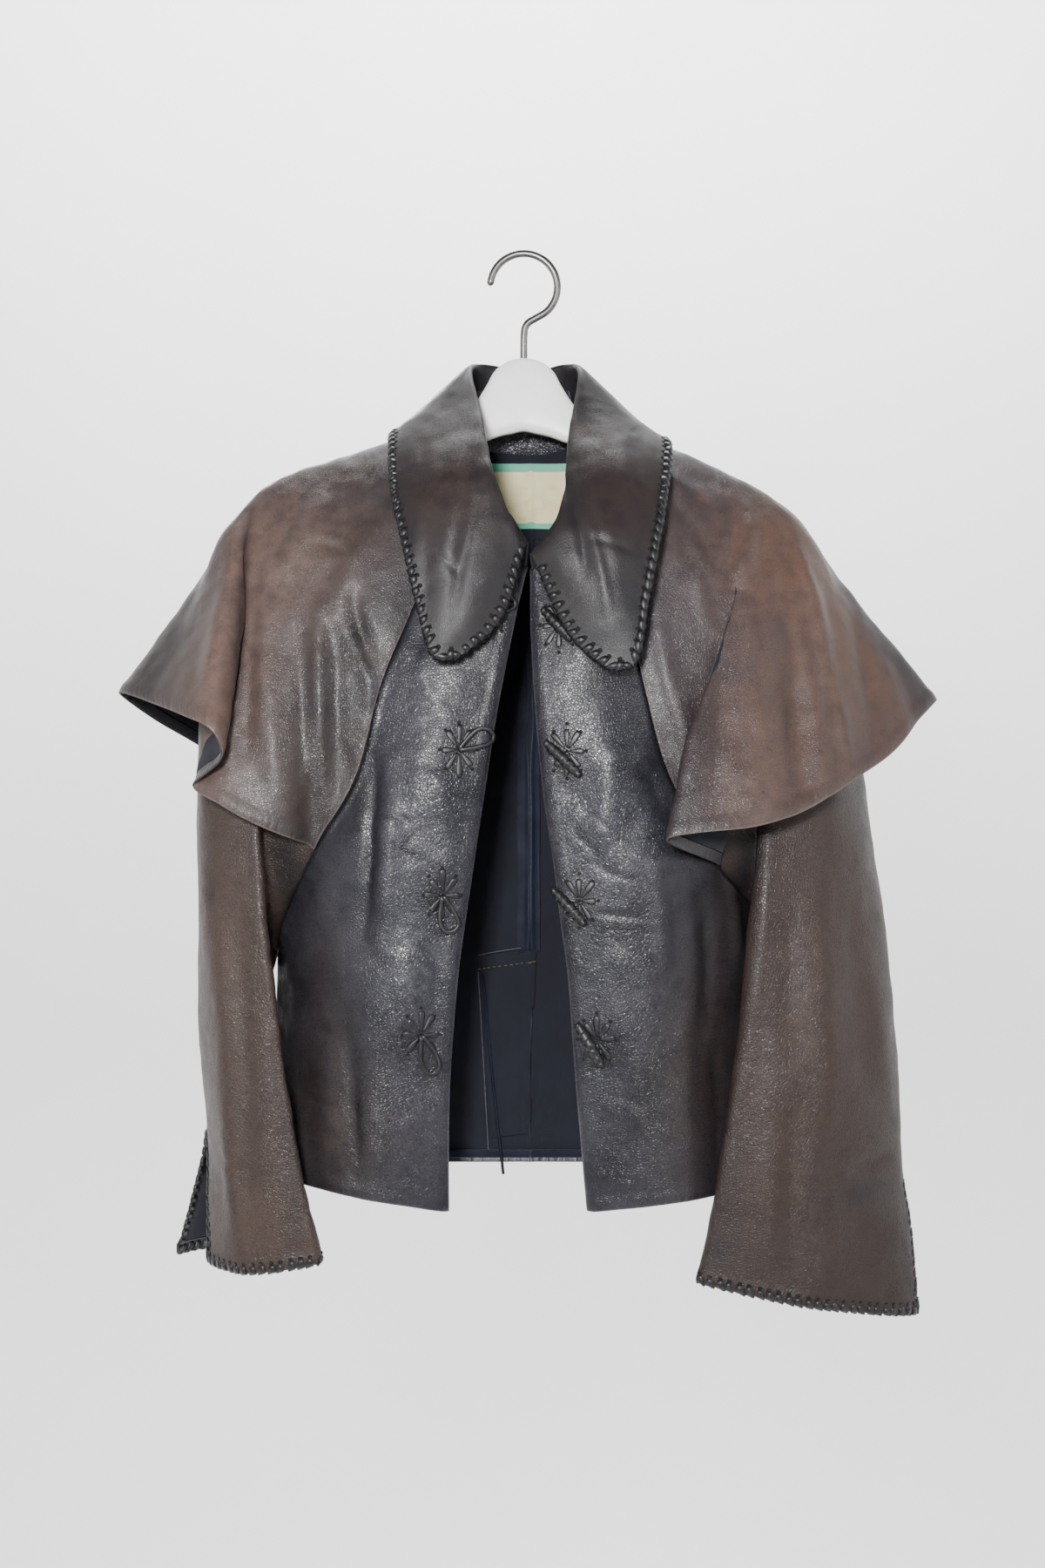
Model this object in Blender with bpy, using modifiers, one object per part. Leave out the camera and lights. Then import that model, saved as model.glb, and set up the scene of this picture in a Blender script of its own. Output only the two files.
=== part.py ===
"""Worn leather jacket with raglan sleeves and shoulder capes, hanging open on a white hanger.

Metres, +Z up, front facing -Y, origin at the inner apex of the hanger's hook.
The garment's right side is at -X. Every leather piece is a wall lofted between
style lines, as a pattern maker draws them, and thickened by Solidify.
"""
import math

import bmesh
import bpy
import numpy as np

MM = 0.001

# Driving dimensions, in millimetres
LEATHER = 1.5            # thickness of every leather wall
SEAM_INSET = 0.55        # each edge stands back from its seam line by this much
ARMHOLE_INSET = 1.8      # and by this much at the underarm, where the pieces meet at a sharp angle
CAPE_LIFT = (2.0, 3.8)   # cape above the sleeve: at its seams, and between them
CAPE_END_LIFT = 1.4      # further lift of the cape where its seams end
COLLAR_RISE = 1.2        # collar's lower edge above the neckline
TRIM_GAP = 0.4           # between a piece laid on a panel and that panel
BAND_INSET = 2.0         # turned bands end this far from the seams beside them
UNDERARM_DROP = 7.2      # the sleeve's underarm point below the body's
LABEL_WALL = 1.0
HOOK_WIRE = 5.8
HOOK_RADIUS = 26.2       # centre line of the hook's arc
HOOK_DROP = 79.0         # hook's apex to the top of the hanger's head
HOOK_ARC = (172, -52)    # the arc's two ends, in degrees from +X
HOOK_SHANK = ((9.0, 24.5), (4.0, 27.5), (1.2, 31.0), (0.3, 36.0), (0.0, 44.0))  # x, depth under the arc
HANGER_THICK = 12.0
HANGER_EDGE = 3.0        # rounding of the hanger's outline
HANGER_HEAD = 30.0       # radius of the hanger's domed head
HANGER_ARM = 26.0        # height of the hanger's arms at their tips
HANGER_REACH = 0.955     # share of the way from the neck to the shoulder tip that each arm reaches
HANGER_UNDER_RIDGE = 4.0  # hanger's top below the middle of the sleeve's ridge wall
HANGER_DEEPER = 6.0      # how much deeper the arms are at the neck than at their tips
HANGER_NECK = ((40, 8), (50, 20))  # hollow beside the head: x, depth below the head's centre
HANGER_BELLY = ((46, -150), (20, -140), (0, -136), (-20, -140), (-46, -150))  # lower edge under the head
FLOWER_RADII = (14.0, 20.0)  # half width and half height of a flower
FLOWER_PETALS = 8
FLOWER_VALLEY = 0.24     # reach between two petals, as a share of a petal's
FLOWER_WALL = 0.9
ABOVE_FLOWER = LEATHER / 2 + TRIM_GAP + FLOWER_WALL + TRIM_GAP  # panel's middle to what lies on its flower
LACE_DIAMETER = 2.6
TOGGLE_DIAMETER = 6.4
TOGGLE_TIP = 0.42        # thickness of a toggle's ends, as a share of its middle's
CENTRE_SEAM_X = 5.0      # the centre-back seam hangs a little off the hook's axis
UNDERARM = 6             # row of the underarm point in the body's and sleeves' lines
SHOULDER = 2             # row of the shoulder tip
CAPE_END = 4             # row where the capes' seams end
SLIT_TOP = 8             # row where the cuff's slit begins
# Flat pieces inside the back: left and right x at the top and at the bottom, then top and bottom z
LABEL = (-32, 36, -31, 35, -155, -207)
SEAM_ALLOWANCES = {"right": (-5.5, 3.6, -5.5, 3.6, -214, -545), "left": (6.4, 13, 6.4, 13, -214, -545)}
VENT_UNDERLAP = (-33, 9, -26, 4, -548, -693)
HEM_SHARES = (0.75, 0.98)  # turned hem inside the back, within its last row of facets
NECK_BAND_SHARES = (0.02, 0.12, 0.21)  # neck band, within the first row of the collar's stand

# Style lines: rows of x, y, z in millimetres, from the neck down.
# Body rows: neck, collar tip, chest, cape fold, cape end, armhole, underarm, waist, hem.
RIGHT_BODY = {
    "front_edge": ((2, -82, -249), (-7, -88, -292), (-19, -92, -355), (-29, -94, -419), (-36, -95, -466),
                   (-43, -95, -514), (-49, -93, -559), (-55, -85, -641), (-56, -70, -732)),
    "front_belly": ((-25, -72, -224), (-43, -88, -282), (-62, -97, -347), (-76, -101, -412),
                    (-94, -102, -466), (-103, -100, -515), (-111, -97, -559), (-117, -90, -643),
                    (-121, -80, -720)),
    "front_side": ((-35, -60, -203), (-62, -83, -277), (-85, -93, -342), (-102, -95, -408),
                   (-130, -90, -463), (-152, -72, -514), (-164, -60, -556), (-167, -52, -642),
                   (-169, -46, -714)),
    "raglan_front": ((-47, -45, -176), (-80, -75, -272), (-106, -86, -337), (-124, -84, -405),
                     (-156, -72, -459), (-181, -40, -509)),
}
LEFT_BODY = {
    "front_edge": ((6, -82, -251), (5, -88, -295), (8, -92, -355), (14, -94, -419), (21, -95, -466),
                   (27, -95, -514), (33, -93, -559), (39, -85, -641), (47, -70, -732)),
    "front_belly": ((28, -72, -224), (41, -88, -282), (50, -97, -347), (63, -101, -412), (84, -102, -469),
                    (95, -100, -515), (102, -97, -559), (107, -90, -643), (114, -80, -723)),
    "front_side": ((38, -60, -203), (59, -83, -277), (71, -93, -342), (88, -95, -407), (121, -90, -470),
                   (146, -72, -510), (158, -60, -552), (161, -52, -642), (164, -46, -719)),
    "raglan_front": ((49, -45, -176), (74, -75, -272), (89, -86, -337), (107, -84, -402), (145, -72, -471),
                     (172, -40, -503)),
}
# The two sides share these lines, mirrored; the right side is written.
SHARED_BODY = {
    "side_seam": ((-190, -8, -540), (-194, -4, -632), (-196, 0, -712)),
    "raglan_back": ((-50, 34, -142), (-86, 38, -240), (-110, 40, -315), (-134, 40, -390), (-162, 36, -450),
                    (-181, 18, -505)),
    "back_side": ((-40, 38, -143), (-70, 43, -240), (-92, 45, -315), (-110, 45, -390), (-132, 44, -455),
                  (-148, 40, -510), (-160, 34, -550), (-164, 33, -632), (-166, 32, -712)),
    "back_mid": ((-24, 42, -146), (-40, 47, -240), (-52, 49, -315), (-62, 49, -390), (-76, 48, -455),
                 (-86, 46, -510), (-92, 43, -550), (-95, 41, -632), (-97, 39, -713)),
}
BACK_CENTRE = ((44, -148), (47, -240), (48, -315), (47, -390), (45, -455), (42, -510), (40, -550), (37, -632),
               (35, -712))

# Sleeve rows: neck, collar tip, shoulder tip, upper arm, cape end, armhole, underarm, elbow, slit top,
# forearm, cuff. The first six rows of the seams are the raglan lines.
RIGHT_SLEEVE = {
    "underarm": ((-190, -8, -540), (-203, -20, -598), (-201, -20, -668), (-194, -20, -721),
                 (-186, -20, -771)),
    "crease": ((-58, -26, -150), (-112, -52, -205), (-165, -62, -250), (-195, -72, -325), (-200, -80, -405),
               (-196, -86, -477), (-192, -88, -525), (-183, -88, -595), (-173, -86, -668),
               (-164, -84, -718), (-154, -80, -768)),
    "front": ((-64, -10, -140), (-126, -22, -168), (-194, -30, -206), (-228, -40, -285), (-238, -56, -370),
              (-240, -64, -445), (-236, -70, -512), (-228, -76, -598), (-222, -76, -670), (-214, -74, -722),
              (-207, -70, -777)),
    "ridge": ((-66, 2, -137), (-130, 0, -157), (-207, 0, -189), (-238, -2, -262), (-249, -5, -345),
              (-252, -8, -420), (-252, -10, -500), (-252, -10, -600), (-246, -8, -674), (-245, -5, -725),
              (-245, 0, -777)),
    "back": ((-65, 12, -138), (-127, 14, -165), (-197, 20, -205), (-230, 24, -285), (-243, 24, -370),
             (-247, 24, -445), (-247, 24, -512), (-246, 24, -600), (-242, 26, -673), (-240, 28, -724),
             (-238, 30, -778)),
    "back_crease": ((-60, 22, -140), (-112, 30, -196), (-165, 37, -250), (-197, 40, -328), (-212, 42, -405),
                    (-221, 43, -480), (-225, 42, -528), (-226, 42, -600), (-222, 44, -672),
                    (-218, 46, -724), (-212, 48, -780)),
}
LEFT_SLEEVE = {
    "underarm": ((190, -8, -540), (202, -24, -598), (204, -24, -700), (196, -24, -745), (186, -24, -795)),
    "crease": ((58, -26, -150), (112, -52, -205), (163, -64, -262), (182, -76, -340), (178, -84, -415),
               (171, -88, -483), (167, -88, -522), (160, -90, -593), (146, -88, -702), (140, -84, -736),
               (130, -80, -782)),
    "front": ((64, -10, -140), (126, -22, -170), (198, -34, -226), (224, -52, -310), (230, -70, -392),
              (228, -80, -463), (226, -86, -518), (226, -90, -600), (222, -90, -707), (220, -88, -747),
              (216, -84, -800)),
    "ridge": ((66, 2, -137), (130, 0, -161), (212, 0, -208), (240, -5, -280), (257, -10, -365),
              (268, -15, -440), (277, -20, -515), (287, -22, -605), (291, -24, -706), (294, -25, -755),
              (297, -25, -814)),
    "back": ((65, 12, -138), (127, 14, -168), (200, 18, -222), (232, 18, -300), (246, 16, -380),
             (252, 14, -452), (257, 14, -518), (263, 14, -604), (265, 14, -708), (267, 14, -750),
             (267, 14, -808)),
    "back_crease": ((60, 22, -140), (112, 30, -200), (167, 37, -262), (198, 40, -340), (210, 40, -420),
                    (216, 38, -485), (218, 34, -530), (216, 30, -602), (211, 28, -705), (207, 28, -743),
                    (202, 28, -795)),
}
# The sleeve's inner wall between seam and crease, row by row: hollow outwards and backwards.
INNER_HOLLOW = ((0, -3), (0, -4), (0, -4), (0, -2), (7, 2), (18, 10), (21, 12), (9, 4), (8, 4), (6, 2),
                (4, 0))
RIDGE = 4                # place of the ridge among the sleeve's eight lines

# How far the slit's two lips open at the cuff: forward lip, then rear lip.
SLIT_OPENING = {"right": ((4, -34, 0), (-26, 6, -2)), "left": ((3, -14, 0), (-4, 12, 4))}

# Cape hems, front seam to back seam: place on the shoulder arch (0 front seam, 0.5 ridge, 1 back
# seam), then the hem point, then how far the fall bows sideways and forward half way down.
RIGHT_CAPE_HEM = (
    (0.12, -175, -95, -450, 0, -2), (0.25, -200, -103, -439, 0, -4), (0.36, -225, -102, -425, 0, -8),
    (0.42, -245, -92, -412, 2, -6), (0.44, -231, -106, -403, 4, -6), (0.46, -218, -121, -390, 4, -6),
    (0.48, -227, -129, -371, -2, -8), (0.50, -247, -112, -362, -4, -6), (0.52, -277, -75, -351, -4, -2),
    (0.55, -310, -35, -341, 0, 0), (0.62, -290, 2, -360, 0, 2), (0.70, -258, 34, -381, 0, 3),
    (0.85, -212, 54, -418, 0, 3),
)
LEFT_CAPE_HEM = (
    (0.20, 138, -92, -468, 20, -6), (0.22, 102, -140, -450, -6, -4), (0.25, 124, -142, -446, -2, -6),
    (0.31, 165, -134, -442, 0, -4), (0.37, 205, -118, -430, 0, 0), (0.42, 247, -92, -406, 0, 0),
    (0.46, 279, -64, -386, 0, 0), (0.50, 301, -36, -363, 0, 0), (0.55, 322, -8, -345, 0, 2),
    (0.63, 296, 26, -377, 0, 3), (0.74, 256, 46, -405, 0, 3), (0.87, 205, 54, -432, 0, 3),
)

CAPE_ARCH_WEIGHT = 420.0  # length that a whole shoulder arch counts for, in spacing a cape's columns
CAPE_COLUMNS = 24
CAPE_ROWS = (0, 0.5, 1, 1.5, 2, 2.5, 3, 3.5, 4)  # as the sleeve's rows, the cape's end last
CAPE_FREE = 0.12          # share of the shoulder arch next to each seam where the cape leaves the sleeve

# Collar stations from the front end to the side of the neck: fold, middle of the leaf, laced edge.
RIGHT_COLLAR = (
    ((1, -95, -235), (-17, -107, -290), (-57, -114, -327)),
    ((-12, -99, -213), (-38, -114, -278), (-68, -114, -315)),
    ((-23, -92, -182), (-51, -110, -236), (-78, -110, -280)),
    ((-28, -70, -157), (-63, -97, -196), (-88, -102, -238)),
    ((-33, -42, -128), (-70, -68, -162), (-98, -78, -195)),
    ((-41, -2, -89), (-79, -8, -120), (-103, -22, -142)),
)
LEFT_COLLAR = (
    ((7, -95, -244), (34, -107, -302), (72, -114, -335)),
    ((18, -100, -232), (56, -114, -278), (84, -114, -317)),
    ((28, -96, -212), (63, -110, -239), (90, -110, -280)),
    ((32, -74, -180), (67, -97, -206), (97, -102, -245)),
    ((35, -45, -145), (72, -70, -168), (105, -80, -203)),
    ((43, -2, -90), (82, -8, -124), (112, -22, -148)),
)
COLLAR_BACK = {"side": ((33, 25, -80), (70, 42, -114), (98, 52, -150)),
               "centre": ((5, 34, -84), (5, 54, -118), (5, 62, -168))}

# Closures: flower centres by x and z; loops and toggles by their two ends.
RIGHT_FLOWERS = ((-26, -284), (-48, -386), (-60, -493), (-76, -596))
LEFT_FLOWERS = ((26, -294), (32, -387), (41, -497), (54, -600))
LOOP_ENDS = ((-8, -276), (-25, -373), (-54, -520), (-67, -625))
LOOP_WIDTHS = (8.0, 11.0, 12.0, 12.0)
LOOP_NECK = 0.62         # half gap of a loop's two strands at its flower, in lace diameters
LOOP_SWELL = 1.3         # brings the teardrop's widest place out to the loop's width
TOGGLE_ENDS = (((14, -282), (36, -306)), ((17, -380), (42, -405)), ((25, -488), (46, -514)),
               ((41, -587), (59, -618)))

NAVY = (0.055, 0.058, 0.075, 1.0)
BROWN = (0.125, 0.092, 0.078, 1.0)
COLLAR_BROWN = (0.085, 0.070, 0.064, 1.0)
SUEDE = (0.010, 0.011, 0.018, 1.0)
CREAM = (0.62, 0.60, 0.44, 1.0)
WHITE = (0.86, 0.86, 0.86, 1.0)
STEEL = (0.58, 0.57, 0.55, 1.0)


def clear_scene():
    """Removes every object that the file opens with."""
    for item in list(bpy.data.objects):
        bpy.data.objects.remove(item, do_unlink=True)


def make_collection(name):
    """A new collection in the scene."""
    collection = bpy.data.collections.new(name)
    bpy.context.scene.collection.children.link(collection)
    return collection


def make_material(name, colour, roughness, metallic=0.0):
    """A Principled BSDF material of one colour."""
    material = bpy.data.materials.new(name)
    material.use_nodes = True
    shader = material.node_tree.nodes["Principled BSDF"]
    shader.inputs["Base Color"].default_value = colour
    shader.inputs["Roughness"].default_value = roughness
    shader.inputs["Metallic"].default_value = metallic
    return material


def mirrored(line):
    """The line's points on the other side of the body."""
    return np.array(line, float) * (-1, 1, 1)


def curve_through(keys, knots, at):
    """Cubic curve through the keys: each tangent is the weighted mean of its two chords' slopes."""
    keys = np.asarray(keys, float)
    widths = np.diff(knots)
    shape = (-1,) + (1,) * (keys.ndim - 1)
    slopes = np.diff(keys, axis=0) / widths.reshape(shape)
    before, after = widths[:-1].reshape(shape), widths[1:].reshape(shape)
    inner = (slopes[:-1] * after + slopes[1:] * before) / (before + after)
    tangents = np.concatenate([slopes[:1], inner, slopes[-1:]])
    cell = np.clip(np.searchsorted(knots, at, "right") - 1, 0, len(knots) - 2)
    width = widths[cell].reshape(shape)
    t = (np.asarray(at) - knots[cell]).reshape(shape) / width
    return ((2 * t**3 - 3 * t**2 + 1) * keys[cell] + (t**3 - 2 * t**2 + t) * width * tangents[cell]
            + (3 * t**2 - 2 * t**3) * keys[cell + 1] + (t**3 - t**2) * width * tangents[cell + 1])


def knots_of(points, power=0.5):
    """Knots from 0 to 1 along the first axis, spaced by a power of the mean distance between rows."""
    gaps = np.linalg.norm(np.diff(points, axis=0), axis=-1)
    gaps = gaps.reshape(len(gaps), -1).mean(axis=1) ** power
    return np.concatenate([[0.0], np.cumsum(gaps) / gaps.sum()])


def divided(knots, cells):
    """The knots with each span cut into the given number of cells."""
    cells = [cells] * (len(knots) - 1) if isinstance(cells, int) else cells
    spans = [np.linspace(a, b, n, endpoint=False) for a, b, n in zip(knots, knots[1:], cells)]
    return np.concatenate(spans + [[knots[-1]]])


class Loft:
    """A surface through style lines: lines[line, row, xyz], read at (row place, line place)."""

    def __init__(self, lines, cornered=()):
        self.lines = np.array(lines, float)
        self.along = np.arange(self.lines.shape[1], dtype=float)
        self.across = knots_of(self.lines)
        self.cornered = cornered

    def rows_at(self, along):
        """The lines read at the given row places; a cornered line turns sharply at the underarm."""
        along = np.asarray(along, float)
        rows = curve_through(self.lines.swapaxes(0, 1), self.along, along)
        for line in self.cornered:
            keys, places = self.lines[line], self.along
            above = curve_through(keys[:UNDERARM + 1], places[:UNDERARM + 1], along)
            below = curve_through(keys[UNDERARM:], places[UNDERARM:], along)
            rows[:, line] = np.where(along[:, None] <= UNDERARM, above, below)
        return rows

    def points(self, along, across):
        """The grid of surface points at every row place and line place."""
        return curve_through(self.rows_at(along).swapaxes(0, 1), self.across, across).swapaxes(0, 1)


def trimmed(points, edges, inset=SEAM_INSET):
    """The grid with the named edges drawn in along the surface; a side's inset may vary by row."""
    points = points.copy()
    inset = np.broadcast_to(np.asarray(inset, float), len(points))
    pairs = {"top": (points[0], points[1]), "bottom": (points[-1], points[-2]),
             "start": (points[:, 0], points[:, 1]), "end": (points[:, -1], points[:, -2])}
    for edge in edges:
        border, inner = pairs[edge]
        step = inner - border
        amount = inset[:, None] if edge in ("start", "end") else SEAM_INSET
        border += step * amount / np.linalg.norm(step, axis=-1, keepdims=True)
    return points


def normals_of(points):
    """Unit normals of a grid of points, from the cross product of its two directions."""
    normal = np.cross(np.gradient(points, axis=1), np.gradient(points, axis=0))
    return normal / np.linalg.norm(normal, axis=-1, keepdims=True)


def grid_into(mesh, points):
    """Adds a grid primitive to the mesh and moves its vertices onto the points."""
    rows, cols = points.shape[:2]
    made = bmesh.ops.create_grid(mesh, x_segments=cols - 1, y_segments=rows - 1, size=0.5)["verts"]
    for vert in made:
        row, col = round((vert.co.y + 0.5) * (rows - 1)), round((vert.co.x + 0.5) * (cols - 1))
        vert.co = points[row, col] * MM
    return made


def finish_sheet(name, mesh, wall, material, collection):
    """Thickens the sheet in the mesh equally to both sides and gives it its name and material."""
    bmesh.ops.remove_doubles(mesh, verts=mesh.verts, dist=0.00004)
    bmesh.ops.recalc_face_normals(mesh, faces=mesh.faces)
    data = bpy.data.meshes.new(name)
    mesh.to_mesh(data)
    mesh.free()
    data.shade_smooth()
    data.materials.append(material)
    piece = bpy.data.objects.new(name, data)
    collection.objects.link(piece)
    solid = piece.modifiers.new("Leather", "SOLIDIFY")
    solid.thickness = wall * MM
    solid.offset = 0.0
    solid.use_even_offset = True
    solid.thickness_clamp = 1.0
    return piece


def add_sheet(name, grids, material, collection, wall=LEATHER):
    """One leather or cloth piece from one grid of points, or from more that share an edge."""
    mesh = bmesh.new()
    for points in grids:
        grid_into(mesh, points)
    return finish_sheet(name, mesh, wall, material, collection)


def body_lines(side):
    """All style lines of one side of the body, as arrays, with the shared ones mirrored to the left."""
    own = RIGHT_BODY if side == "right" else LEFT_BODY
    lines = {name: np.array(rows, float) for name, rows in own.items()}
    for name, rows in SHARED_BODY.items():
        lines[name] = np.array(rows, float) if side == "right" else mirrored(rows)
    lines["back_centre"] = np.array([(CENTRE_SEAM_X, y, z) for y, z in BACK_CENTRE], float)
    return lines


def front_loft(lines):
    """A front, from its open edge to the raglan and side seams."""
    outer = np.concatenate([lines["raglan_front"], lines["side_seam"]])
    return Loft([lines["front_edge"], lines["front_belly"], lines["front_side"], outer], cornered=(3,))


def back_loft(lines):
    """Half the back, from the centre seam to the raglan and side seams."""
    outer = np.concatenate([lines["raglan_back"], lines["side_seam"]])
    return Loft([lines["back_centre"], lines["back_mid"], lines["back_side"], outer], cornered=(3,))


def sleeve_loft(lines, own):
    """A raglan sleeve, from its front seam over the ridge to its back seam."""
    under = np.array(own["underarm"], float)
    front_seam = np.concatenate([lines["raglan_front"], under])
    back_seam = np.concatenate([lines["raglan_back"], under])
    outward = np.sign(under[0, 0])
    hollow = np.array(INNER_HOLLOW, float)
    inner = (front_seam + own["crease"]) / 2
    inner[:, 0] += outward * hollow[:, 0]
    inner[:, 1] += hollow[:, 1]
    return Loft([front_seam, inner, own["crease"], own["front"], own["ridge"], own["back"],
                 own["back_crease"], back_seam], cornered=(0, 7))


def sleeve_grids(loft, side):
    """Front and back halves of the sleeve, closed below the underarm and open at the cuff's slit."""
    along = divided(loft.along, [2, 2, 2, 2, 2, 2, 1, 1, 2, 1])
    across = divided(loft.across, [2, 2, 2, 2, 2, 2, 3])
    inset = np.interp(along, (CAPE_END, UNDERARM), (SEAM_INSET, ARMHOLE_INSET))
    points = trimmed(loft.points(along, across), ("top", "start", "end"), inset)
    underarm = 2 * UNDERARM
    closed = (points[underarm:, 0] + points[underarm:, -1]) / 2
    down = closed[1] - closed[0]
    closed[0] += down / np.linalg.norm(down) * UNDERARM_DROP
    points[underarm:, 0] = points[underarm:, -1] = closed
    split = 2 * RIDGE
    opening = np.clip((along - SLIT_TOP) / (along[-1] - SLIT_TOP), 0, 1)[:, None, None]
    forward, rear = (np.array(shift, float) for shift in SLIT_OPENING[side])
    near = np.clip(1 - abs(across - loft.across[RIDGE]) / 0.2, 0, 1)[None, :, None] ** 1.5
    front = (points + opening * near * forward)[:, :split + 1]
    back = (points + opening * near * rear)[:, split:]
    return front, back


def cape_lift(rows, places):
    """How far the cape lies out from the sleeve at these rows and shoulder-arch places."""
    edge, middle = CAPE_LIFT
    share = np.clip(np.minimum(places, 1 - places) / 0.08, 0, 1)
    end = CAPE_END_LIFT * (np.asarray(rows)[:, None] / CAPE_END) ** 4
    return edge + (middle - edge) * share[None, :] + end


def sleeve_normals(sleeve, rows, places, step=0.02):
    """Outward unit normals of the sleeve, from its slopes along the rows and across them."""
    rows = np.asarray(rows, float)
    down = (sleeve.points(np.minimum(rows + step, rows[-1]), places)
            - sleeve.points(np.maximum(rows - step, 0), places))
    round_ = (sleeve.points(rows, np.minimum(places + step, 1))
              - sleeve.points(rows, np.maximum(places - step, 0)))
    normal = np.cross(round_, down)
    normal /= np.linalg.norm(normal, axis=-1, keepdims=True)
    return normal if normal[..., 2].mean() > 0 else -normal


def cape_grid(sleeve, hem):
    """The cape: laid over the sleeve down to the shoulder tip, then falling to its hem path, where the
    sleeve under it lets it fall."""
    hem = np.array(hem, float)
    arch = np.concatenate([[0], hem[:, 0], [1]])
    sides, last = np.array([0.0, 1.0]), [CAPE_END]
    lift = cape_lift(last, sides)[..., None]
    ends = (sleeve.points(last, sides) + sleeve_normals(sleeve, last, sides) * lift)[0]
    path = np.vstack([ends[0], hem[:, 1:4], ends[1]])
    bow = np.vstack([[0, 0], hem[:, 4:6], [0, 0]])
    reach = np.linalg.norm(np.diff(path, axis=0), axis=1) + CAPE_ARCH_WEIGHT * np.diff(arch)
    knots = np.concatenate([[0.0], np.cumsum(reach) / reach.sum()])
    cells = [max(2, round(CAPE_COLUMNS * share)) for share in np.diff(knots)]
    spots = divided(knots, cells)
    arch = np.interp(np.interp(spots, knots, arch), (0, 0.5, 1), (0, sleeve.across[RIDGE], 1))
    bow = curve_through(bow, knots, spots)
    places = np.array(CAPE_ROWS, float)
    normal = sleeve_normals(sleeve, places, arch)
    lift = cape_lift(places, arch)
    rows = sleeve.points(places, arch) + normal * lift[..., None]
    bottom = curve_through(path, knots, spots)
    free = np.clip(np.minimum(arch, 1 - arch) / CAPE_FREE, 0, 1)[:, None]
    shoulder = rows[places == SHOULDER][0]
    for row, place in enumerate(places):
        fall = (place - SHOULDER) / (CAPE_END - SHOULDER)
        if fall > 0:
            hung = shoulder + (bottom - shoulder) * fall
            hung[:, :2] += bow * 4 * fall * (1 - fall)
            hung = rows[row] + (hung - rows[row]) * (1 if fall == 1 else free)
            below = np.einsum("ij,ij->i", rows[row] - hung, normal[row])
            rows[row] = hung + normal[row] * np.clip(below, 0, None)[:, None]
    return trimmed(rows, ("top", "start", "end"))


def neckline(lines, own):
    """Seven places on one side of the neckline, from the front edge to the back raglan seam."""
    front = [lines[name][0] for name in ("front_edge", "front_belly", "front_side", "raglan_front")]
    over = [np.array(own[name][0], float) for name in ("crease", "ridge")]
    return front + over + [lines["raglan_back"][0]]


def collar_loft(right, left):
    """Stations from the right front end, round the back, to the left front end."""
    def stations(neck, table, sign):
        side = [np.array(point, float) * (sign, 1, 1) for point in COLLAR_BACK["side"]]
        rows = [np.array(row, float) for row in table] + [np.array(side)]
        return [np.vstack([base + (0, 0, COLLAR_RISE), row]) for base, row in zip(neck, rows)]

    centre = np.vstack([(CENTRE_SEAM_X, BACK_CENTRE[0][0], BACK_CENTRE[0][1] + COLLAR_RISE),
                        np.array(COLLAR_BACK["centre"], float)])
    rows = stations(right, RIGHT_COLLAR, -1) + [centre] + stations(left, LEFT_COLLAR, 1)[::-1]
    return Loft(rows)


class Panel:
    """A panel's fine surface, for laying small pieces on it."""

    def __init__(self, loft):
        self.grid = loft.points(np.linspace(0, loft.along[-1], 160), np.linspace(0, 1, 60))
        self.normal = normals_of(self.grid)
        if np.mean(self.normal[..., 1]) > 0:
            self.normal = -self.normal

    def above(self, x, z, lift):
        """The point at (x, z) moved out of the panel by lift, on the nearest sample's tangent plane."""
        flat = self.grid.reshape(-1, 3)
        nearest = int(np.argmin((flat[:, 0] - x) ** 2 + (flat[:, 2] - z) ** 2))
        spot, normal = flat[nearest], self.normal.reshape(-1, 3)[nearest]
        offset = (x - spot[0]) * normal[0] + (z - spot[2]) * normal[2]
        return np.array([x, spot[1] - offset / normal[1], z]) + normal * lift


def add_flower(name, panel, centre, material, collection):
    """A rosette of lace petals as one thin star, laid on the panel."""
    mesh = bmesh.new()
    sides = 4 * FLOWER_PETALS
    wide, high = FLOWER_RADII
    bmesh.ops.create_circle(mesh, cap_ends=True, cap_tris=True, segments=sides, radius=1.0)
    lift = LEATHER / 2 + TRIM_GAP + FLOWER_WALL / 2
    for vert in mesh.verts:
        angle = math.atan2(vert.co.y, vert.co.x)
        petal = (1 + math.cos(FLOWER_PETALS * angle)) / 2
        reach = vert.co.length * (FLOWER_VALLEY + (1 - FLOWER_VALLEY) * petal)
        x = centre[0] + wide * reach * math.cos(angle)
        vert.co = panel.above(x, centre[1] + high * reach * math.sin(angle), lift) * MM
    piece = finish_sheet(name, mesh, FLOWER_WALL, material, collection)
    piece.modifiers["Leather"].use_even_offset = False
    return piece


def add_wire(name, points, diameter, material, collection, cyclic=False, radii=None):
    """A round wire, lace or cord along the points, with closed ends."""
    curve = bpy.data.curves.new(name, "CURVE")
    curve.dimensions = "3D"
    curve.bevel_depth = diameter / 2 * MM
    curve.bevel_resolution = 2 if diameter > LACE_DIAMETER else 1
    curve.use_fill_caps = True
    spline = curve.splines.new("POLY")
    spline.points.add(len(points) - 1)
    for index, (target, point) in enumerate(zip(spline.points, points)):
        target.co = (*(np.asarray(point) * MM), 1.0)
        target.radius = 1.0 if radii is None else radii[index]
    spline.use_cyclic_u = cyclic
    curve.materials.append(material)
    piece = bpy.data.objects.new(name, curve)
    collection.objects.link(piece)
    return piece


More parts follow.
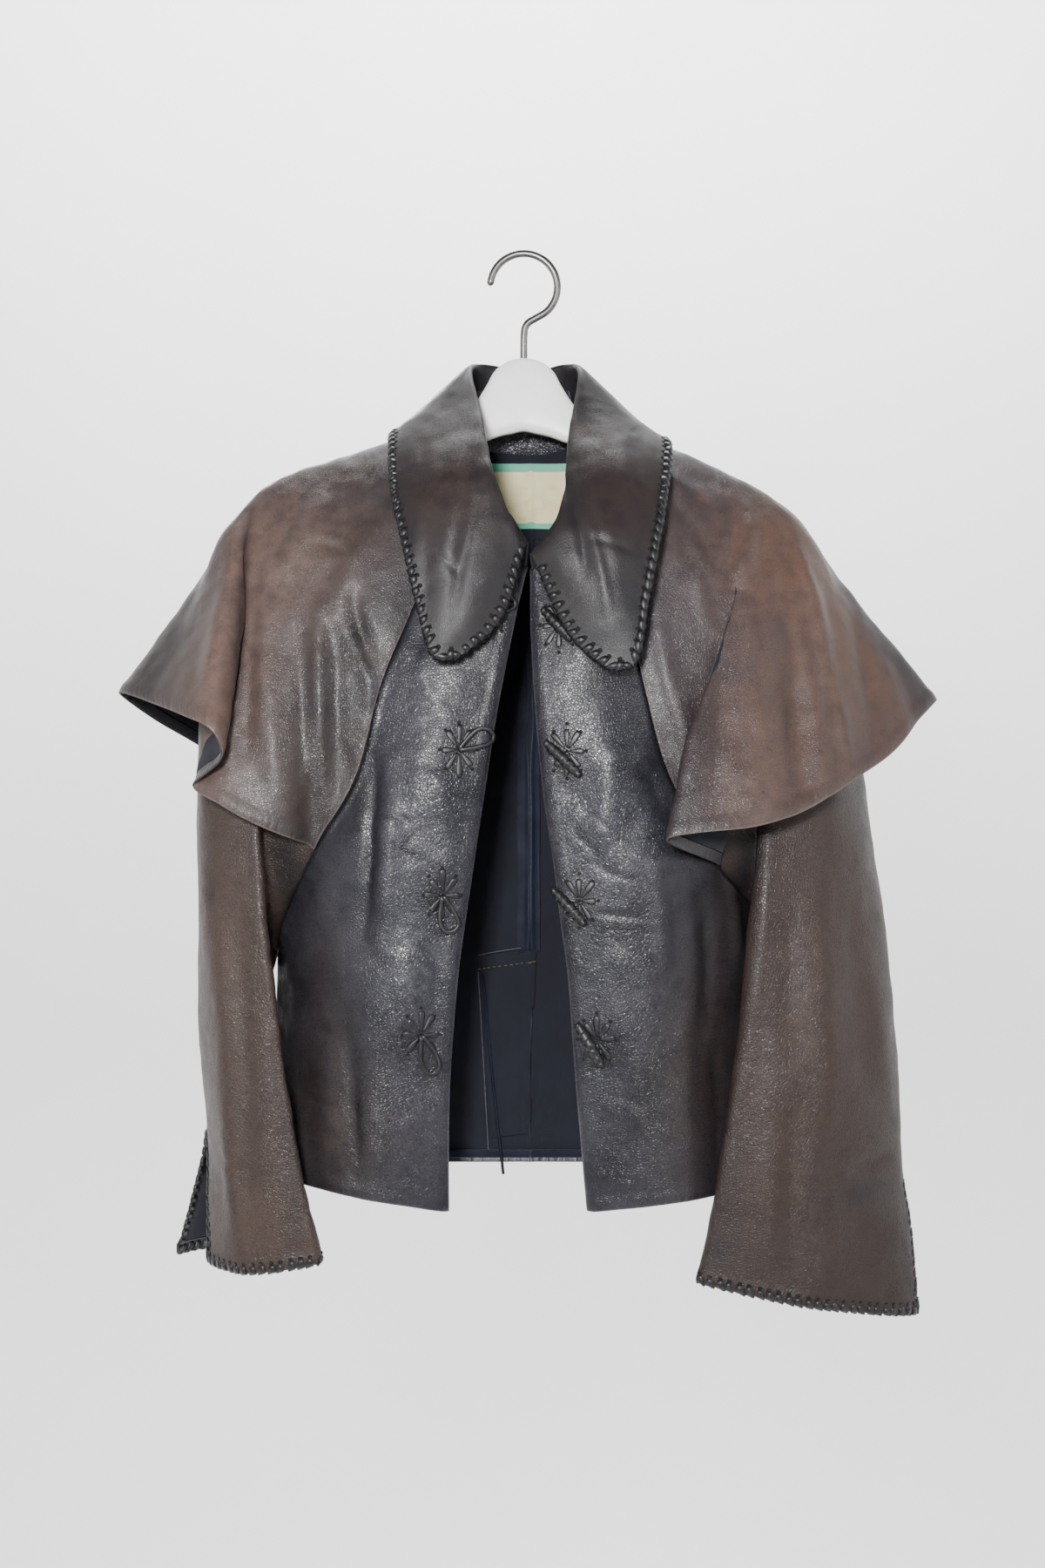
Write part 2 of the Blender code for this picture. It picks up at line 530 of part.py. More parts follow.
def add_loop(name, panel, start, end, width, material, collection):
    """A teardrop loop of lace from a flower's centre to the far end, standing above the petals."""
    start, end = np.array(start, float), np.array(end, float)
    along = end - start
    length = np.linalg.norm(along)
    along, side = along / length, np.array([-along[1], along[0]]) / length
    points = []
    for angle in np.linspace(0, 2 * math.pi, 18, endpoint=False):
        reach = length * (1 - math.cos(angle)) / 2
        swell = LOOP_NECK * LACE_DIAMETER + LOOP_SWELL * width / 2 * math.sin(angle / 2) ** 2
        spot = start + along * reach + side * swell * math.sin(angle)
        points.append(panel.above(spot[0], spot[1], ABOVE_FLOWER + LACE_DIAMETER / 2))
    return add_wire(name, points, LACE_DIAMETER, material, collection, cyclic=True)


def add_toggle(name, panel, ends, material, collection):
    """A lace rolled up into a spindle, lying above its flower."""
    (x0, z0), (x1, z1) = ends
    lift = ABOVE_FLOWER + TOGGLE_DIAMETER / 2
    places = np.linspace(0, 1, 9)
    points = [panel.above(x0 + (x1 - x0) * t, z0 + (z1 - z0) * t, lift) for t in places]
    radii = TOGGLE_TIP + (1 - TOGGLE_TIP) * np.sin(math.pi * places) ** 0.7
    return add_wire(name, points, TOGGLE_DIAMETER, material, collection, radii=radii)


def hanger_outline(right_ridge, left_ridge):
    """Closed outline in x, z: along the top below both ridges, round the tips and back under the arms."""
    def top_of(ridge):
        places = np.linspace(0, HANGER_REACH, 9)
        line = curve_through(ridge[:SHOULDER + 1], knots_of(ridge[:SHOULDER + 1], 1.0), places)
        return [(x, z - HANGER_UNDER_RIDGE) for x, _, z in line]

    def under(top):
        """The tip's round end, then the arm's lower edge back to the neck, deeper towards the middle."""
        (x, z), radius = top[-1], HANGER_ARM / 2
        bulge = math.copysign(0.3 * radius, x)
        tip = [(x + bulge * math.cos(a), z - radius + radius * math.sin(a)) for a in (0.8, 0, -0.8)]
        return tip + [(u, w - HANGER_ARM - HANGER_DEEPER * (1 - u / x)) for u, w in top[:0:-1]]

    right, left = top_of(right_ridge), top_of(left_ridge)
    centre, angles = -HOOK_DROP - HANGER_HEAD, np.radians(range(20, 161, 20))
    head = [(HANGER_HEAD * math.cos(a), centre + HANGER_HEAD * math.sin(a)) for a in angles]
    neck = [(x, centre - depth) for x, depth in HANGER_NECK]
    return (head + [(-x, z) for x, z in neck] + right + under(right) + list(HANGER_BELLY[::-1])
            + under(left)[::-1] + left[::-1] + neck[::-1])


def add_hanger(name, outline, material, collection):
    """The hanger's body, its outline extruded to its thickness and rounded along the edges."""
    curve = bpy.data.curves.new(name, "CURVE")
    curve.dimensions = "2D"
    curve.fill_mode = "BOTH"
    curve.extrude = (HANGER_THICK / 2 - HANGER_EDGE) * MM
    curve.bevel_depth = HANGER_EDGE * MM
    curve.bevel_resolution = 1
    curve.offset = -HANGER_EDGE * MM
    spline = curve.splines.new("POLY")
    spline.points.add(len(outline) - 1)
    for target, (x, z) in zip(spline.points, outline):
        target.co = (x * MM, z * MM, 0.0, 1.0)
    spline.use_cyclic_u = True
    curve.materials.append(material)
    piece = bpy.data.objects.new(name, curve)
    piece.rotation_euler.x = math.pi / 2
    collection.objects.link(piece)
    return piece


def add_hook(name, material, collection):
    """The hook's arc, its sloping shank and the stem down to the hanger's head."""
    centre = -(HOOK_RADIUS - HOOK_WIRE / 2)
    angles = np.radians(np.linspace(*HOOK_ARC, 26))
    arc = [(HOOK_RADIUS * math.cos(a), 0, centre + HOOK_RADIUS * math.sin(a)) for a in angles]
    shank = [(x, 0, centre - depth) for x, depth in HOOK_SHANK]
    return add_wire(name, arc + shank + [(0, 0, -HOOK_DROP + TRIM_GAP)], HOOK_WIRE, material, collection)


def laid_grid(panels, outline, lift, columns, rows):
    """A four-sided flat piece laid inside the back, each point moved off its own side's panel."""
    top_left, top_right, low_left, low_right, top, low = outline
    grid = np.empty((rows, columns, 3))
    for row, down in enumerate(np.linspace(0, 1, rows)):
        left = top_left + (low_left - top_left) * down
        right = top_right + (low_right - top_right) * down
        for column, x in enumerate(np.linspace(left, right, columns)):
            side = "right" if x < CENTRE_SEAM_X else "left"
            grid[row, column] = panels[side].above(x, top + (low - top) * down, lift)
    return grid


def between_rows(pair, shares):
    """Rows at the given shares of the way between two rows of a grid, on the same facets."""
    return np.stack([pair[0] + (pair[1] - pair[0]) * share for share in shares])


def moved_in(points, lift):
    """The grid moved towards the front of the garment, along its own normals."""
    normal = normals_of(points)
    return points - normal * np.sign(np.mean(normal[..., 1])) * lift


def main():
    clear_scene()
    jacket = make_collection("leather_jacket")
    hanger = make_collection("hanger")
    navy = make_material("navy_leather", NAVY, 0.35)
    brown = make_material("brown_leather", BROWN, 0.45)
    collar_leather = make_material("collar_leather", COLLAR_BROWN, 0.42)
    suede = make_material("navy_suede", SUEDE, 0.95)
    label_cloth = make_material("label_cloth", CREAM, 0.85)
    white_plastic = make_material("white_plastic", WHITE, 0.35)
    steel = make_material("brushed_steel", STEEL, 0.3, 1.0)

    sleeves = {"right": RIGHT_SLEEVE, "left": LEFT_SLEEVE}
    hems = {"right": RIGHT_CAPE_HEM, "left": LEFT_CAPE_HEM}
    necks, panels, inside = {}, {}, {}
    on_panel = LEATHER + TRIM_GAP
    for side, own in sleeves.items():
        lines = body_lines(side)
        front, back, sleeve = front_loft(lines), back_loft(lines), sleeve_loft(lines, own)
        front_rows = divided(front.along, 2)
        front_grid = trimmed(front.points(front_rows, divided(front.across, 3)), ("top", "end"))
        back_grid = trimmed(back.points(front_rows, divided(back.across, 3)), ("top", "start", "end"))
        add_sheet(f"front_{side}", [front_grid], navy, jacket)
        add_sheet(f"back_{side}", [back_grid], navy, jacket)
        add_sheet(f"sleeve_{side}", sleeve_grids(sleeve, side), brown, jacket)
        add_sheet(f"cape_{side}", [cape_grid(sleeve, hems[side])], brown, jacket)
        necks[side], panels[side], inside[side] = neckline(lines, own), Panel(front), Panel(back)
        hem = moved_in(between_rows(back_grid[-2:], HEM_SHARES), on_panel)
        add_sheet(f"hem_band_{side}", [trimmed(hem, ("start", "end"), BAND_INSET)], suede, jacket)
        allowance = laid_grid(inside, SEAM_ALLOWANCES[side], on_panel, 2, 8)
        add_sheet(f"seam_allowance_{side}", [allowance], suede, jacket)

    collar = collar_loft(necks["right"], necks["left"])
    stations = divided(collar.across, 2)
    collar_grid = collar.points(divided(collar.along, [2, 2, 3]), stations)
    add_sheet("collar", [collar_grid], collar_leather, jacket)
    behind = slice(len(stations) // 2 - 2, len(stations) // 2 + 3)
    neck_band = moved_in(between_rows(collar_grid[:2, behind], NECK_BAND_SHARES), on_panel)
    add_sheet("neck_band", [trimmed(neck_band, ("start", "end"), BAND_INSET)], navy, jacket)
    add_sheet("label", [laid_grid(inside, LABEL, on_panel, 7, 5)], label_cloth, jacket, LABEL_WALL)
    underlap = laid_grid(inside, VENT_UNDERLAP, on_panel, 5, 8)
    add_sheet("vent_underlap", [underlap], suede, jacket)

    closures = (("right", RIGHT_FLOWERS), ("left", LEFT_FLOWERS))
    for side, centres in closures:
        for number, centre in enumerate(centres, 1):
            add_flower(f"flower_{side}_{number}", panels[side], centre, navy, jacket)
    for number, (start, end, width) in enumerate(zip(RIGHT_FLOWERS, LOOP_ENDS, LOOP_WIDTHS), 1):
        add_loop(f"loop_{number}", panels["right"], start, end, width, navy, jacket)
    for number, ends in enumerate(TOGGLE_ENDS, 1):
        add_toggle(f"toggle_{number}", panels["left"], ends, navy, jacket)

    ridges = [np.array(own["ridge"], float) for own in (RIGHT_SLEEVE, LEFT_SLEEVE)]
    add_hanger("hanger_body", hanger_outline(*ridges), white_plastic, hanger)
    add_hook("hanger_hook", steel, hanger)


main()
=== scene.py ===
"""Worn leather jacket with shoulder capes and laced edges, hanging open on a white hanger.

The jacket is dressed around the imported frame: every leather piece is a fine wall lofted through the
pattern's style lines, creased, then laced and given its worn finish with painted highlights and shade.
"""
import logging
import math
from dataclasses import dataclass, field, replace
from enum import Enum
from functools import partial
from typing import Any, Callable, Sequence

import bmesh
import bpy
import numpy as np
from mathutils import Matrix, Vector


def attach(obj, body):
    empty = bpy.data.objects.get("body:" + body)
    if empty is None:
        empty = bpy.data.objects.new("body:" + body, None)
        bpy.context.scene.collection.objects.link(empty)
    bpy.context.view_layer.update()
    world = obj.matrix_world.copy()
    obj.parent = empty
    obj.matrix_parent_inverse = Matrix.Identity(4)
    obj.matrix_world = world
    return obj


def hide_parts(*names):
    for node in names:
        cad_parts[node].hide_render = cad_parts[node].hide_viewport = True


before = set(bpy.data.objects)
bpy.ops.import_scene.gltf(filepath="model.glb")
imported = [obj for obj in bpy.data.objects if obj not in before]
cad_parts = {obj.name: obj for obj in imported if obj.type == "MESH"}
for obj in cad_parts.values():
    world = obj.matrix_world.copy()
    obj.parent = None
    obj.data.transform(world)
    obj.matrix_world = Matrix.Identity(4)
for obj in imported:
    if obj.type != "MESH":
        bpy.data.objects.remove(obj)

logging.basicConfig(level=logging.INFO, format="%(name)s: %(message)s")
LOG = logging.getLogger("leather jacket")

Grid = np.ndarray
Row = tuple[float, ...]
Shape = tuple[Grid, Grid]    # vertices in mm, and faces as vertex numbers
PanelPart = tuple[Grid, Grid, dict[str, Grid]]   # points, normals and fields
Material = bpy.types.Material
Piece = bpy.types.Object

MM = 0.001
LEATHER = 1.5                # wall of every leather piece, in mm
SEAM_LAP = 0.3               # how far a sewn edge passes its seam line, so that no light shows through
INWARDS = -1.9               # from the back's middle to the middle of a piece laid inside it, in mm
SHOULDER, CAPE_END, UNDERARM, SLIT_TOP = 2, 4, 6, 8   # rows of the style lines
RIDGE = 4                    # the sleeve's line over the shoulder
CENTRE_SEAM_X = 5.0
HOLE_DEPTH = (-0.3, 0.12)    # a punched hole's painted-shade disc reaches this far through the outer face, in mm


class Side(Enum):
    """The wearer's side; its value is the sign of x."""

    RIGHT = -1
    LEFT = 1

    @property
    def word(self) -> str:
        """The side's name in lower case, as the frame's nodes spell it."""
        return self.name.lower()

# Style lines: rows of x, y, z in millimetres, from the neck down.
# Body rows: neck, collar tip, chest, cape fold, cape end, armhole, underarm, waist, hem.
BODY_LINES = {
    Side.RIGHT: {
        "front_edge": ((2, -82, -249), (-7, -88, -292), (-19, -92, -355), (-29, -94, -419),
            (-36, -95, -466), (-43, -95, -514), (-49, -93, -559), (-55, -85, -641), (-56, -70, -732)),
        "front_belly": ((-25, -72, -224), (-43, -88, -282), (-62, -97, -347), (-76, -101, -412),
            (-94, -102, -466), (-103, -100, -515), (-111, -97, -559), (-117, -90, -643), (-121, -80, -720)),
        "front_side": ((-35, -60, -203), (-62, -83, -277), (-85, -93, -342), (-102, -95, -408),
            (-130, -90, -463), (-152, -72, -514), (-164, -60, -556), (-167, -52, -642), (-169, -46, -714)),
        "raglan_front": ((-47, -45, -176), (-80, -75, -272), (-106, -86, -337), (-124, -84, -405),
            (-156, -72, -459), (-181, -40, -509)),
    },
    Side.LEFT: {
        "front_edge": ((6, -82, -251), (5, -88, -295), (8, -92, -355), (14, -94, -419), (21, -95, -466),
            (27, -95, -514), (33, -93, -559), (39, -85, -641), (47, -70, -732)),
        "front_belly": ((28, -72, -224), (41, -88, -282), (50, -97, -347), (63, -101, -412),
            (84, -102, -469), (95, -100, -515), (102, -97, -559), (107, -90, -643), (114, -80, -723)),
        "front_side": ((38, -60, -203), (59, -83, -277), (71, -93, -342), (88, -95, -407), (121, -90, -470),
            (146, -72, -510), (158, -60, -552), (161, -52, -642), (164, -46, -719)),
        "raglan_front": ((49, -45, -176), (74, -75, -272), (89, -86, -337), (107, -84, -402),
            (145, -72, -471), (172, -40, -503)),
    },
}
# The two sides share these lines, mirrored; the right side is written.
SHARED_LINES = {
    "side_seam": ((-190, -8, -540), (-194, -4, -632), (-196, 0, -712)),
    "raglan_back": ((-50, 34, -142), (-86, 38, -240), (-110, 40, -315), (-134, 40, -390), (-162, 36, -450),
        (-181, 18, -505)),
    "back_side": ((-40, 38, -143), (-70, 43, -240), (-92, 45, -315), (-110, 45, -390), (-132, 44, -455),
        (-148, 40, -510), (-160, 34, -550), (-164, 33, -632), (-166, 32, -712)),
    "back_mid": ((-24, 42, -146), (-40, 47, -240), (-52, 49, -315), (-62, 49, -390), (-76, 48, -455),
        (-86, 46, -510), (-92, 43, -550), (-95, 41, -632), (-97, 39, -713)),
}
BACK_CENTRE = ((44, -148), (47, -240), (48, -315), (47, -390), (45, -455), (42, -510), (40, -550),
    (37, -632), (35, -712))   # y and z

# Sleeve rows: neck, collar tip, shoulder tip, upper arm, cape end, armhole, underarm, elbow, slit top,
# forearm, cuff. The first six rows of the seams are the raglan lines.
SLEEVE_LINES = {
    Side.RIGHT: {
        "underarm": ((-190, -8, -540), (-203, -20, -598), (-201, -20, -668), (-194, -20, -721),
            (-186, -20, -771)),
        "crease": ((-58, -26, -150), (-112, -52, -205), (-165, -62, -250), (-195, -72, -325),
            (-200, -80, -405), (-196, -86, -477), (-192, -88, -525), (-183, -88, -595), (-173, -86, -668),
            (-164, -84, -718), (-154, -80, -768)),
        "front": ((-64, -10, -140), (-126, -22, -168), (-194, -30, -206), (-228, -40, -285),
            (-238, -56, -370), (-240, -64, -445), (-236, -70, -512), (-228, -76, -598), (-222, -76, -670),
            (-214, -74, -722), (-207, -70, -777)),
        "ridge": ((-66, 2, -137), (-130, 0, -157), (-207, 0, -189), (-238, -2, -262), (-249, -5, -345),
            (-252, -8, -420), (-252, -10, -500), (-252, -10, -600), (-246, -8, -674), (-245, -5, -725),
            (-245, 0, -777)),
        "back": ((-65, 12, -138), (-127, 14, -165), (-197, 20, -205), (-230, 24, -285), (-243, 24, -370),
            (-247, 24, -445), (-247, 24, -512), (-246, 24, -600), (-242, 26, -673), (-240, 28, -724),
            (-238, 30, -778)),
        "back_crease": ((-60, 22, -140), (-112, 30, -196), (-165, 37, -250), (-197, 40, -328),
            (-212, 42, -405), (-221, 43, -480), (-225, 42, -528), (-226, 42, -600), (-222, 44, -672),
            (-218, 46, -724), (-212, 48, -780)),
    },
    Side.LEFT: {
        "underarm": ((190, -8, -540), (202, -24, -598), (204, -24, -700), (196, -24, -745),
            (186, -24, -795)),
        "crease": ((58, -26, -150), (112, -52, -205), (163, -64, -262), (182, -76, -340), (178, -84, -415),
            (171, -88, -483), (167, -88, -522), (160, -90, -593), (146, -88, -702), (140, -84, -736),
            (130, -80, -782)),
        "front": ((64, -10, -140), (126, -22, -170), (198, -34, -226), (224, -52, -310), (230, -70, -392),
            (228, -80, -463), (226, -86, -518), (226, -90, -600), (222, -90, -707), (220, -88, -747),
            (216, -84, -800)),
        "ridge": ((66, 2, -137), (130, 0, -161), (212, 0, -208), (240, -5, -280), (257, -10, -365),
            (268, -15, -440), (277, -20, -515), (287, -22, -605), (291, -24, -706), (294, -25, -755),
            (297, -25, -814)),
        "back": ((65, 12, -138), (127, 14, -168), (200, 18, -222), (232, 18, -300), (246, 16, -380),
            (252, 14, -452), (257, 14, -518), (263, 14, -604), (265, 14, -708), (267, 14, -750),
            (267, 14, -808)),
        "back_crease": ((60, 22, -140), (112, 30, -200), (167, 37, -262), (198, 40, -340), (210, 40, -420),
            (216, 38, -485), (218, 34, -530), (216, 30, -602), (211, 28, -705), (207, 28, -743),
            (202, 28, -795)),
    },
}
# The sleeve's inner wall between seam and crease, row by row: hollow outwards and backwards.
INNER_HOLLOW = ((0, -3), (0, -4), (0, -4), (0, -2), (7, 2), (18, 10), (21, 12), (9, 4), (8, 4), (6, 2),
    (4, 0))
# How far the slit's two lips open at the cuff: forward lip, then rear lip.
SLIT_OPENING = {Side.RIGHT: ((4, -34, 0), (-26, 6, -2)), Side.LEFT: ((3, -14, 0), (-4, 12, 4))}

# Cape hems, front seam to back seam: place on the shoulder arch (0 front seam, 0.5 ridge, 1 back
# seam), then the hem point, then how far the fall bows sideways and forward half way down.
CAPE_HEMS = {
    Side.RIGHT: ((0.12, -175, -95, -450, 0, -2), (0.25, -200, -103, -439, 0, -4),
        (0.36, -225, -102, -425, 0, -8), (0.42, -245, -92, -412, 2, -6), (0.44, -231, -106, -403, 4, -6),
        (0.46, -218, -121, -390, 4, -6), (0.48, -227, -129, -371, -2, -8), (0.5, -247, -112, -362, -4, -6),
        (0.52, -277, -75, -351, -4, -2), (0.55, -310, -35, -341, 0, 0), (0.62, -290, 2, -360, 0, 2),
        (0.7, -258, 34, -381, 0, 3), (0.85, -212, 54, -418, 0, 3)),
    Side.LEFT: ((0.2, 138, -92, -468, 20, -6), (0.22, 102, -140, -450, -6, -4),
        (0.25, 124, -142, -446, -2, -6), (0.31, 165, -134, -442, 0, -4), (0.37, 205, -118, -430, 0, 0),
        (0.42, 247, -92, -406, 0, 0), (0.46, 279, -64, -386, 0, 0), (0.5, 301, -36, -363, 0, 0),
        (0.55, 322, -8, -345, 0, 2), (0.63, 296, 26, -377, 0, 3), (0.74, 256, 46, -405, 0, 3),
        (0.87, 205, 54, -432, 0, 3)),
}

# Collar stations from the front end to the side of the neck: fold, middle of the leaf, laced edge.
COLLAR_STATIONS = {
    Side.RIGHT: (((1, -95, -235), (-17, -107, -290), (-57, -114, -327)),
        ((-12, -99, -213), (-38, -114, -278), (-68, -114, -315)),
        ((-23, -92, -182), (-51, -110, -236), (-78, -110, -280)),
        ((-28, -70, -157), (-63, -97, -196), (-88, -102, -238)),
        ((-33, -42, -128), (-70, -68, -162), (-98, -78, -195)),
        ((-41, -2, -89), (-79, -8, -120), (-103, -22, -142))),
    Side.LEFT: (((7, -95, -244), (34, -107, -302), (72, -114, -335)),
        ((18, -100, -232), (56, -114, -278), (84, -114, -317)),
        ((28, -96, -212), (63, -110, -239), (90, -110, -280)),
        ((32, -74, -180), (67, -97, -206), (97, -102, -245)),
        ((35, -45, -145), (72, -70, -168), (105, -80, -203)),
        ((43, -2, -90), (82, -8, -124), (112, -22, -148))),
}
COLLAR_BACK = {"side": ((33, 25, -80), (70, 42, -114), (98, 52, -150)),
               "centre": ((5, 34, -84), (5, 54, -118), (5, 62, -168))}

# Closures: flower centres by x and z, each loop with its lower end and width, each toggle with its ends.
FLOWERS = {Side.RIGHT: ((-26, -284), (-48, -386), (-60, -493), (-76, -596)),
           Side.LEFT: ((26, -294), (32, -387), (41, -497), (54, -600))}
LOOPS = (((-8, -276), 8), ((-25, -373), 11), ((-54, -520), 12), ((-67, -625), 12))
TOGGLES = (((14, -282), (36, -306)), ((17, -380), (42, -405)), ((25, -488), (46, -514)),
           ((41, -587), (59, -618)))

# Laid inside the back. Seam allowances: left and right x, top and bottom z.
SEAM_ALLOWANCES = {Side.RIGHT: (-5.5, 3.6, -214, -545), Side.LEFT: (6.4, 13, -214, -545)}
# Vent underlap: left and right x at the top, left and right x at the bottom, top and bottom z.
VENT_UNDERLAP = (-33, 9, -26, 4, -548, -693)
# Label: left and right x, slant to the right, top and bottom z.
LABEL = (-32, 36, 1, -155, -207)
# The vent's folded edges, the strap along it and the row of stitches at its top, each from end to end.
VENT_EDGES = (((-37, -561), (-28, -702)), ((-37, -548), (-2, -542)))
VENT_STRAP = (((-33, -563), (-16, -722)),)
VENT_STITCHES = ((-36, -559), (8, -553))


def curve_through(keys: Any, knots: Any, at: Any) -> Grid:
    """Cubic curve through the keys: each tangent is the weighted mean of its two chords' slopes.

    Args:
        keys: values at the knots, along the first axis.
        knots: rising parameters of the keys.
        at: parameters to read.

    Returns:
        The values at those parameters, along the first axis.
    """
    keys, knots, at = (np.asarray(item, float) for item in (keys, knots, at))
    widths = np.diff(knots)
    shape = (-1,) + (1,) * (keys.ndim - 1)
    slopes = np.diff(keys, axis=0) / widths.reshape(shape)
    before, after = widths[:-1].reshape(shape), widths[1:].reshape(shape)
    inner = (slopes[:-1] * after + slopes[1:] * before) / (before + after)
    tangents = np.concatenate([slopes[:1], inner, slopes[-1:]])
    cell = np.clip(np.searchsorted(knots, at, "right") - 1, 0, len(knots) - 2)
    width = widths[cell].reshape(shape)
    t = (at - knots[cell]).reshape(shape) / width
    return ((2 * t**3 - 3 * t**2 + 1) * keys[cell] + (t**3 - 2 * t**2 + t) * width * tangents[cell]
            + (3 * t**2 - 2 * t**3) * keys[cell + 1] + (t**3 - t**2) * width * tangents[cell + 1])


def knots_of(points: Grid, power: float = 0.5) -> Grid:
    """Knots from 0 to 1 along the first axis, spaced by a power of the mean distance between rows."""
    gaps = np.linalg.norm(np.diff(points, axis=0), axis=-1)
    gaps = gaps.reshape(len(gaps), -1).mean(axis=1) ** power
    return np.concatenate([[0.0], np.cumsum(gaps) / gaps.sum()])


def unit(vectors: Grid) -> Grid:
    """The vectors at length one."""
    return vectors / np.maximum(np.linalg.norm(vectors, axis=-1, keepdims=True), 1e-9)


def smooth_step(x: Any) -> Grid:
    """0 below 0, 1 above 1, and 3x^2 - 2x^3 between."""
    x = np.clip(x, 0.0, 1.0)
    return x * x * (3 - 2 * x)


def normals_of(points: Grid, outward: Any) -> Grid:
    """Unit normals of a grid: the cross product of its two directions, turned to the outward hint."""
    normal = unit(np.cross(np.gradient(points, axis=1), np.gradient(points, axis=0)))
    return normal if (normal * outward).sum(-1).mean() > 0 else -normal


def lengths_of(points: Grid) -> tuple[Grid, Grid]:
    """Lengths in mm along the grid's rows from its first column, and down its columns from the first row."""
    across = np.linalg.norm(np.diff(points, axis=1), axis=-1).cumsum(axis=1)
    down = np.linalg.norm(np.diff(points, axis=0), axis=-1).cumsum(axis=0)
    return np.pad(across, ((0, 0), (1, 0))), np.pad(down, ((1, 0), (0, 0)))


class Loft:
    """A surface through style lines: lines[line, row, xyz], read at (row place, line place)."""

    def __init__(self, lines: Any, cornered: Sequence[int] = ()) -> None:
        """Keeps the lines; a cornered line turns sharply at the underarm row."""
        self.lines = np.array(lines, float)
        self.along = np.arange(self.lines.shape[1], dtype=float)
        self.across = knots_of(self.lines)
        self.cornered = cornered

    def rows_at(self, along: Grid) -> Grid:
        """The lines read at the given row places."""
        rows = curve_through(self.lines.swapaxes(0, 1), self.along, along)
        for line in self.cornered:
            keys, places = self.lines[line], self.along
            above = curve_through(keys[:UNDERARM + 1], places[:UNDERARM + 1], along)
            below = curve_through(keys[UNDERARM:], places[UNDERARM:], along)
            rows[:, line] = np.where(along[:, None] <= UNDERARM, above, below)
        return rows

    def points(self, along: Grid, across: Grid) -> Grid:
        """The grid of surface points at every row place and line place."""
        rows = self.rows_at(np.asarray(along, float)).swapaxes(0, 1)
        return curve_through(rows, self.across, across).swapaxes(0, 1)

    def even_places(self, spacing: float) -> tuple[Grid, Grid]:
        """Row and line places that cut the surface into cells of about the given spacing in mm."""
        coarse = self.points(np.linspace(0, self.along[-1], 60), np.linspace(0, 1, 60))
        wide, high = (length.max(axis=axis).mean() for length, axis in zip(lengths_of(coarse), (1, 0)))
        return (np.linspace(0, self.along[-1], round(high / spacing) + 1),
                np.linspace(0, 1, round(wide / spacing) + 1))


def let_out(points: Grid, edges: Sequence[str]) -> Grid:
    """The grid with the named sewn edges let out along the surface, past their seam lines."""
    points = points.copy()
    pairs = {"top": (points[0], points[1]), "start": (points[:, 0], points[:, 1]),
             "end": (points[:, -1], points[:, -2])}
    for edge in edges:
        border, inner = pairs[edge]
        border -= unit(inner - border) * SEAM_LAP
    return points


def unevenness(points: Grid, cell: float, seed: int) -> Grid:
    """Smooth noise from -1 to 1: random values on a lattice of the given cell in mm, eased between them."""
    random = np.random.default_rng(seed)
    place = points / cell + 1000.0
    base = np.floor(place).astype(int)
    blend = smooth_step(place - base)
    values = random.uniform(-1, 1, (64, 64, 64))
    result = np.zeros(points.shape[:-1])
    for corner in np.ndindex(2, 2, 2):
        weight = np.prod(np.where(corner, blend, 1 - blend), axis=-1)
        index = (base + corner) % 64
        result += weight * values[index[..., 0], index[..., 1], index[..., 2]]
    return result


def quads_of(rows: int, columns: int) -> Grid:
    """Vertex numbers of the quads of a grid, row by row."""
    index = np.arange(rows * columns).reshape(rows, columns)
    return np.stack([index[:-1, :-1], index[:-1, 1:], index[1:, 1:], index[1:, :-1]], axis=-1).reshape(-1, 4)


def new_mesh(name: str, points: Grid, faces: Grid, materials: Sequence[Material],
             fields: dict[str, Grid] | None = None, corner_uv: Grid | None = None) -> Piece:
    """A smooth-shaded mesh object at the origin.

    Args:
        name: the object's name.
        points: vertex places in mm, one row each.
        faces: vertex numbers, one row a face.
        materials: material slots in order.
        fields: values per vertex, kept as attributes.
        corner_uv: flat coordinates in mm for each face corner, kept as the UV map.

    Returns:
        The object, linked to the scene.
    """
    mesh = bpy.data.meshes.new(name)
    size = faces.shape[1]
    mesh.vertices.add(len(points))
    mesh.vertices.foreach_set("co", (points * MM).astype(np.float32).ravel())
    mesh.loops.add(faces.size)
    mesh.loops.foreach_set("vertex_index", faces.astype(np.int32).ravel())
    mesh.polygons.add(len(faces))
    mesh.polygons.foreach_set("loop_start", np.arange(0, faces.size, size, dtype=np.int32))
    mesh.polygons.foreach_set("use_smooth", np.ones(len(faces), bool))
    for key, values in (fields or {}).items():
        mesh.attributes.new(key, "FLOAT", "POINT").data.foreach_set("value", values.astype(np.float32))
    if corner_uv is not None:
        layer = mesh.uv_layers.new(name="surface")
        layer.uv.foreach_set("vector", (corner_uv * MM).astype(np.float32).ravel())
    mesh.update(calc_edges=True)
    for material in materials:
        mesh.materials.append(material)
    piece = bpy.data.objects.new(name, mesh)
    bpy.context.scene.collection.objects.link(piece)
    return piece


def ride(piece: Piece, node: str = "") -> Piece:
    """Puts a piece on the body, in place of the frame's node that it stands for, which it hides."""
    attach(piece, "root")
    if node:
        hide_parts(node)
    LOG.info("%s: %d vertices", piece.name, len(piece.data.vertices))
    return piece


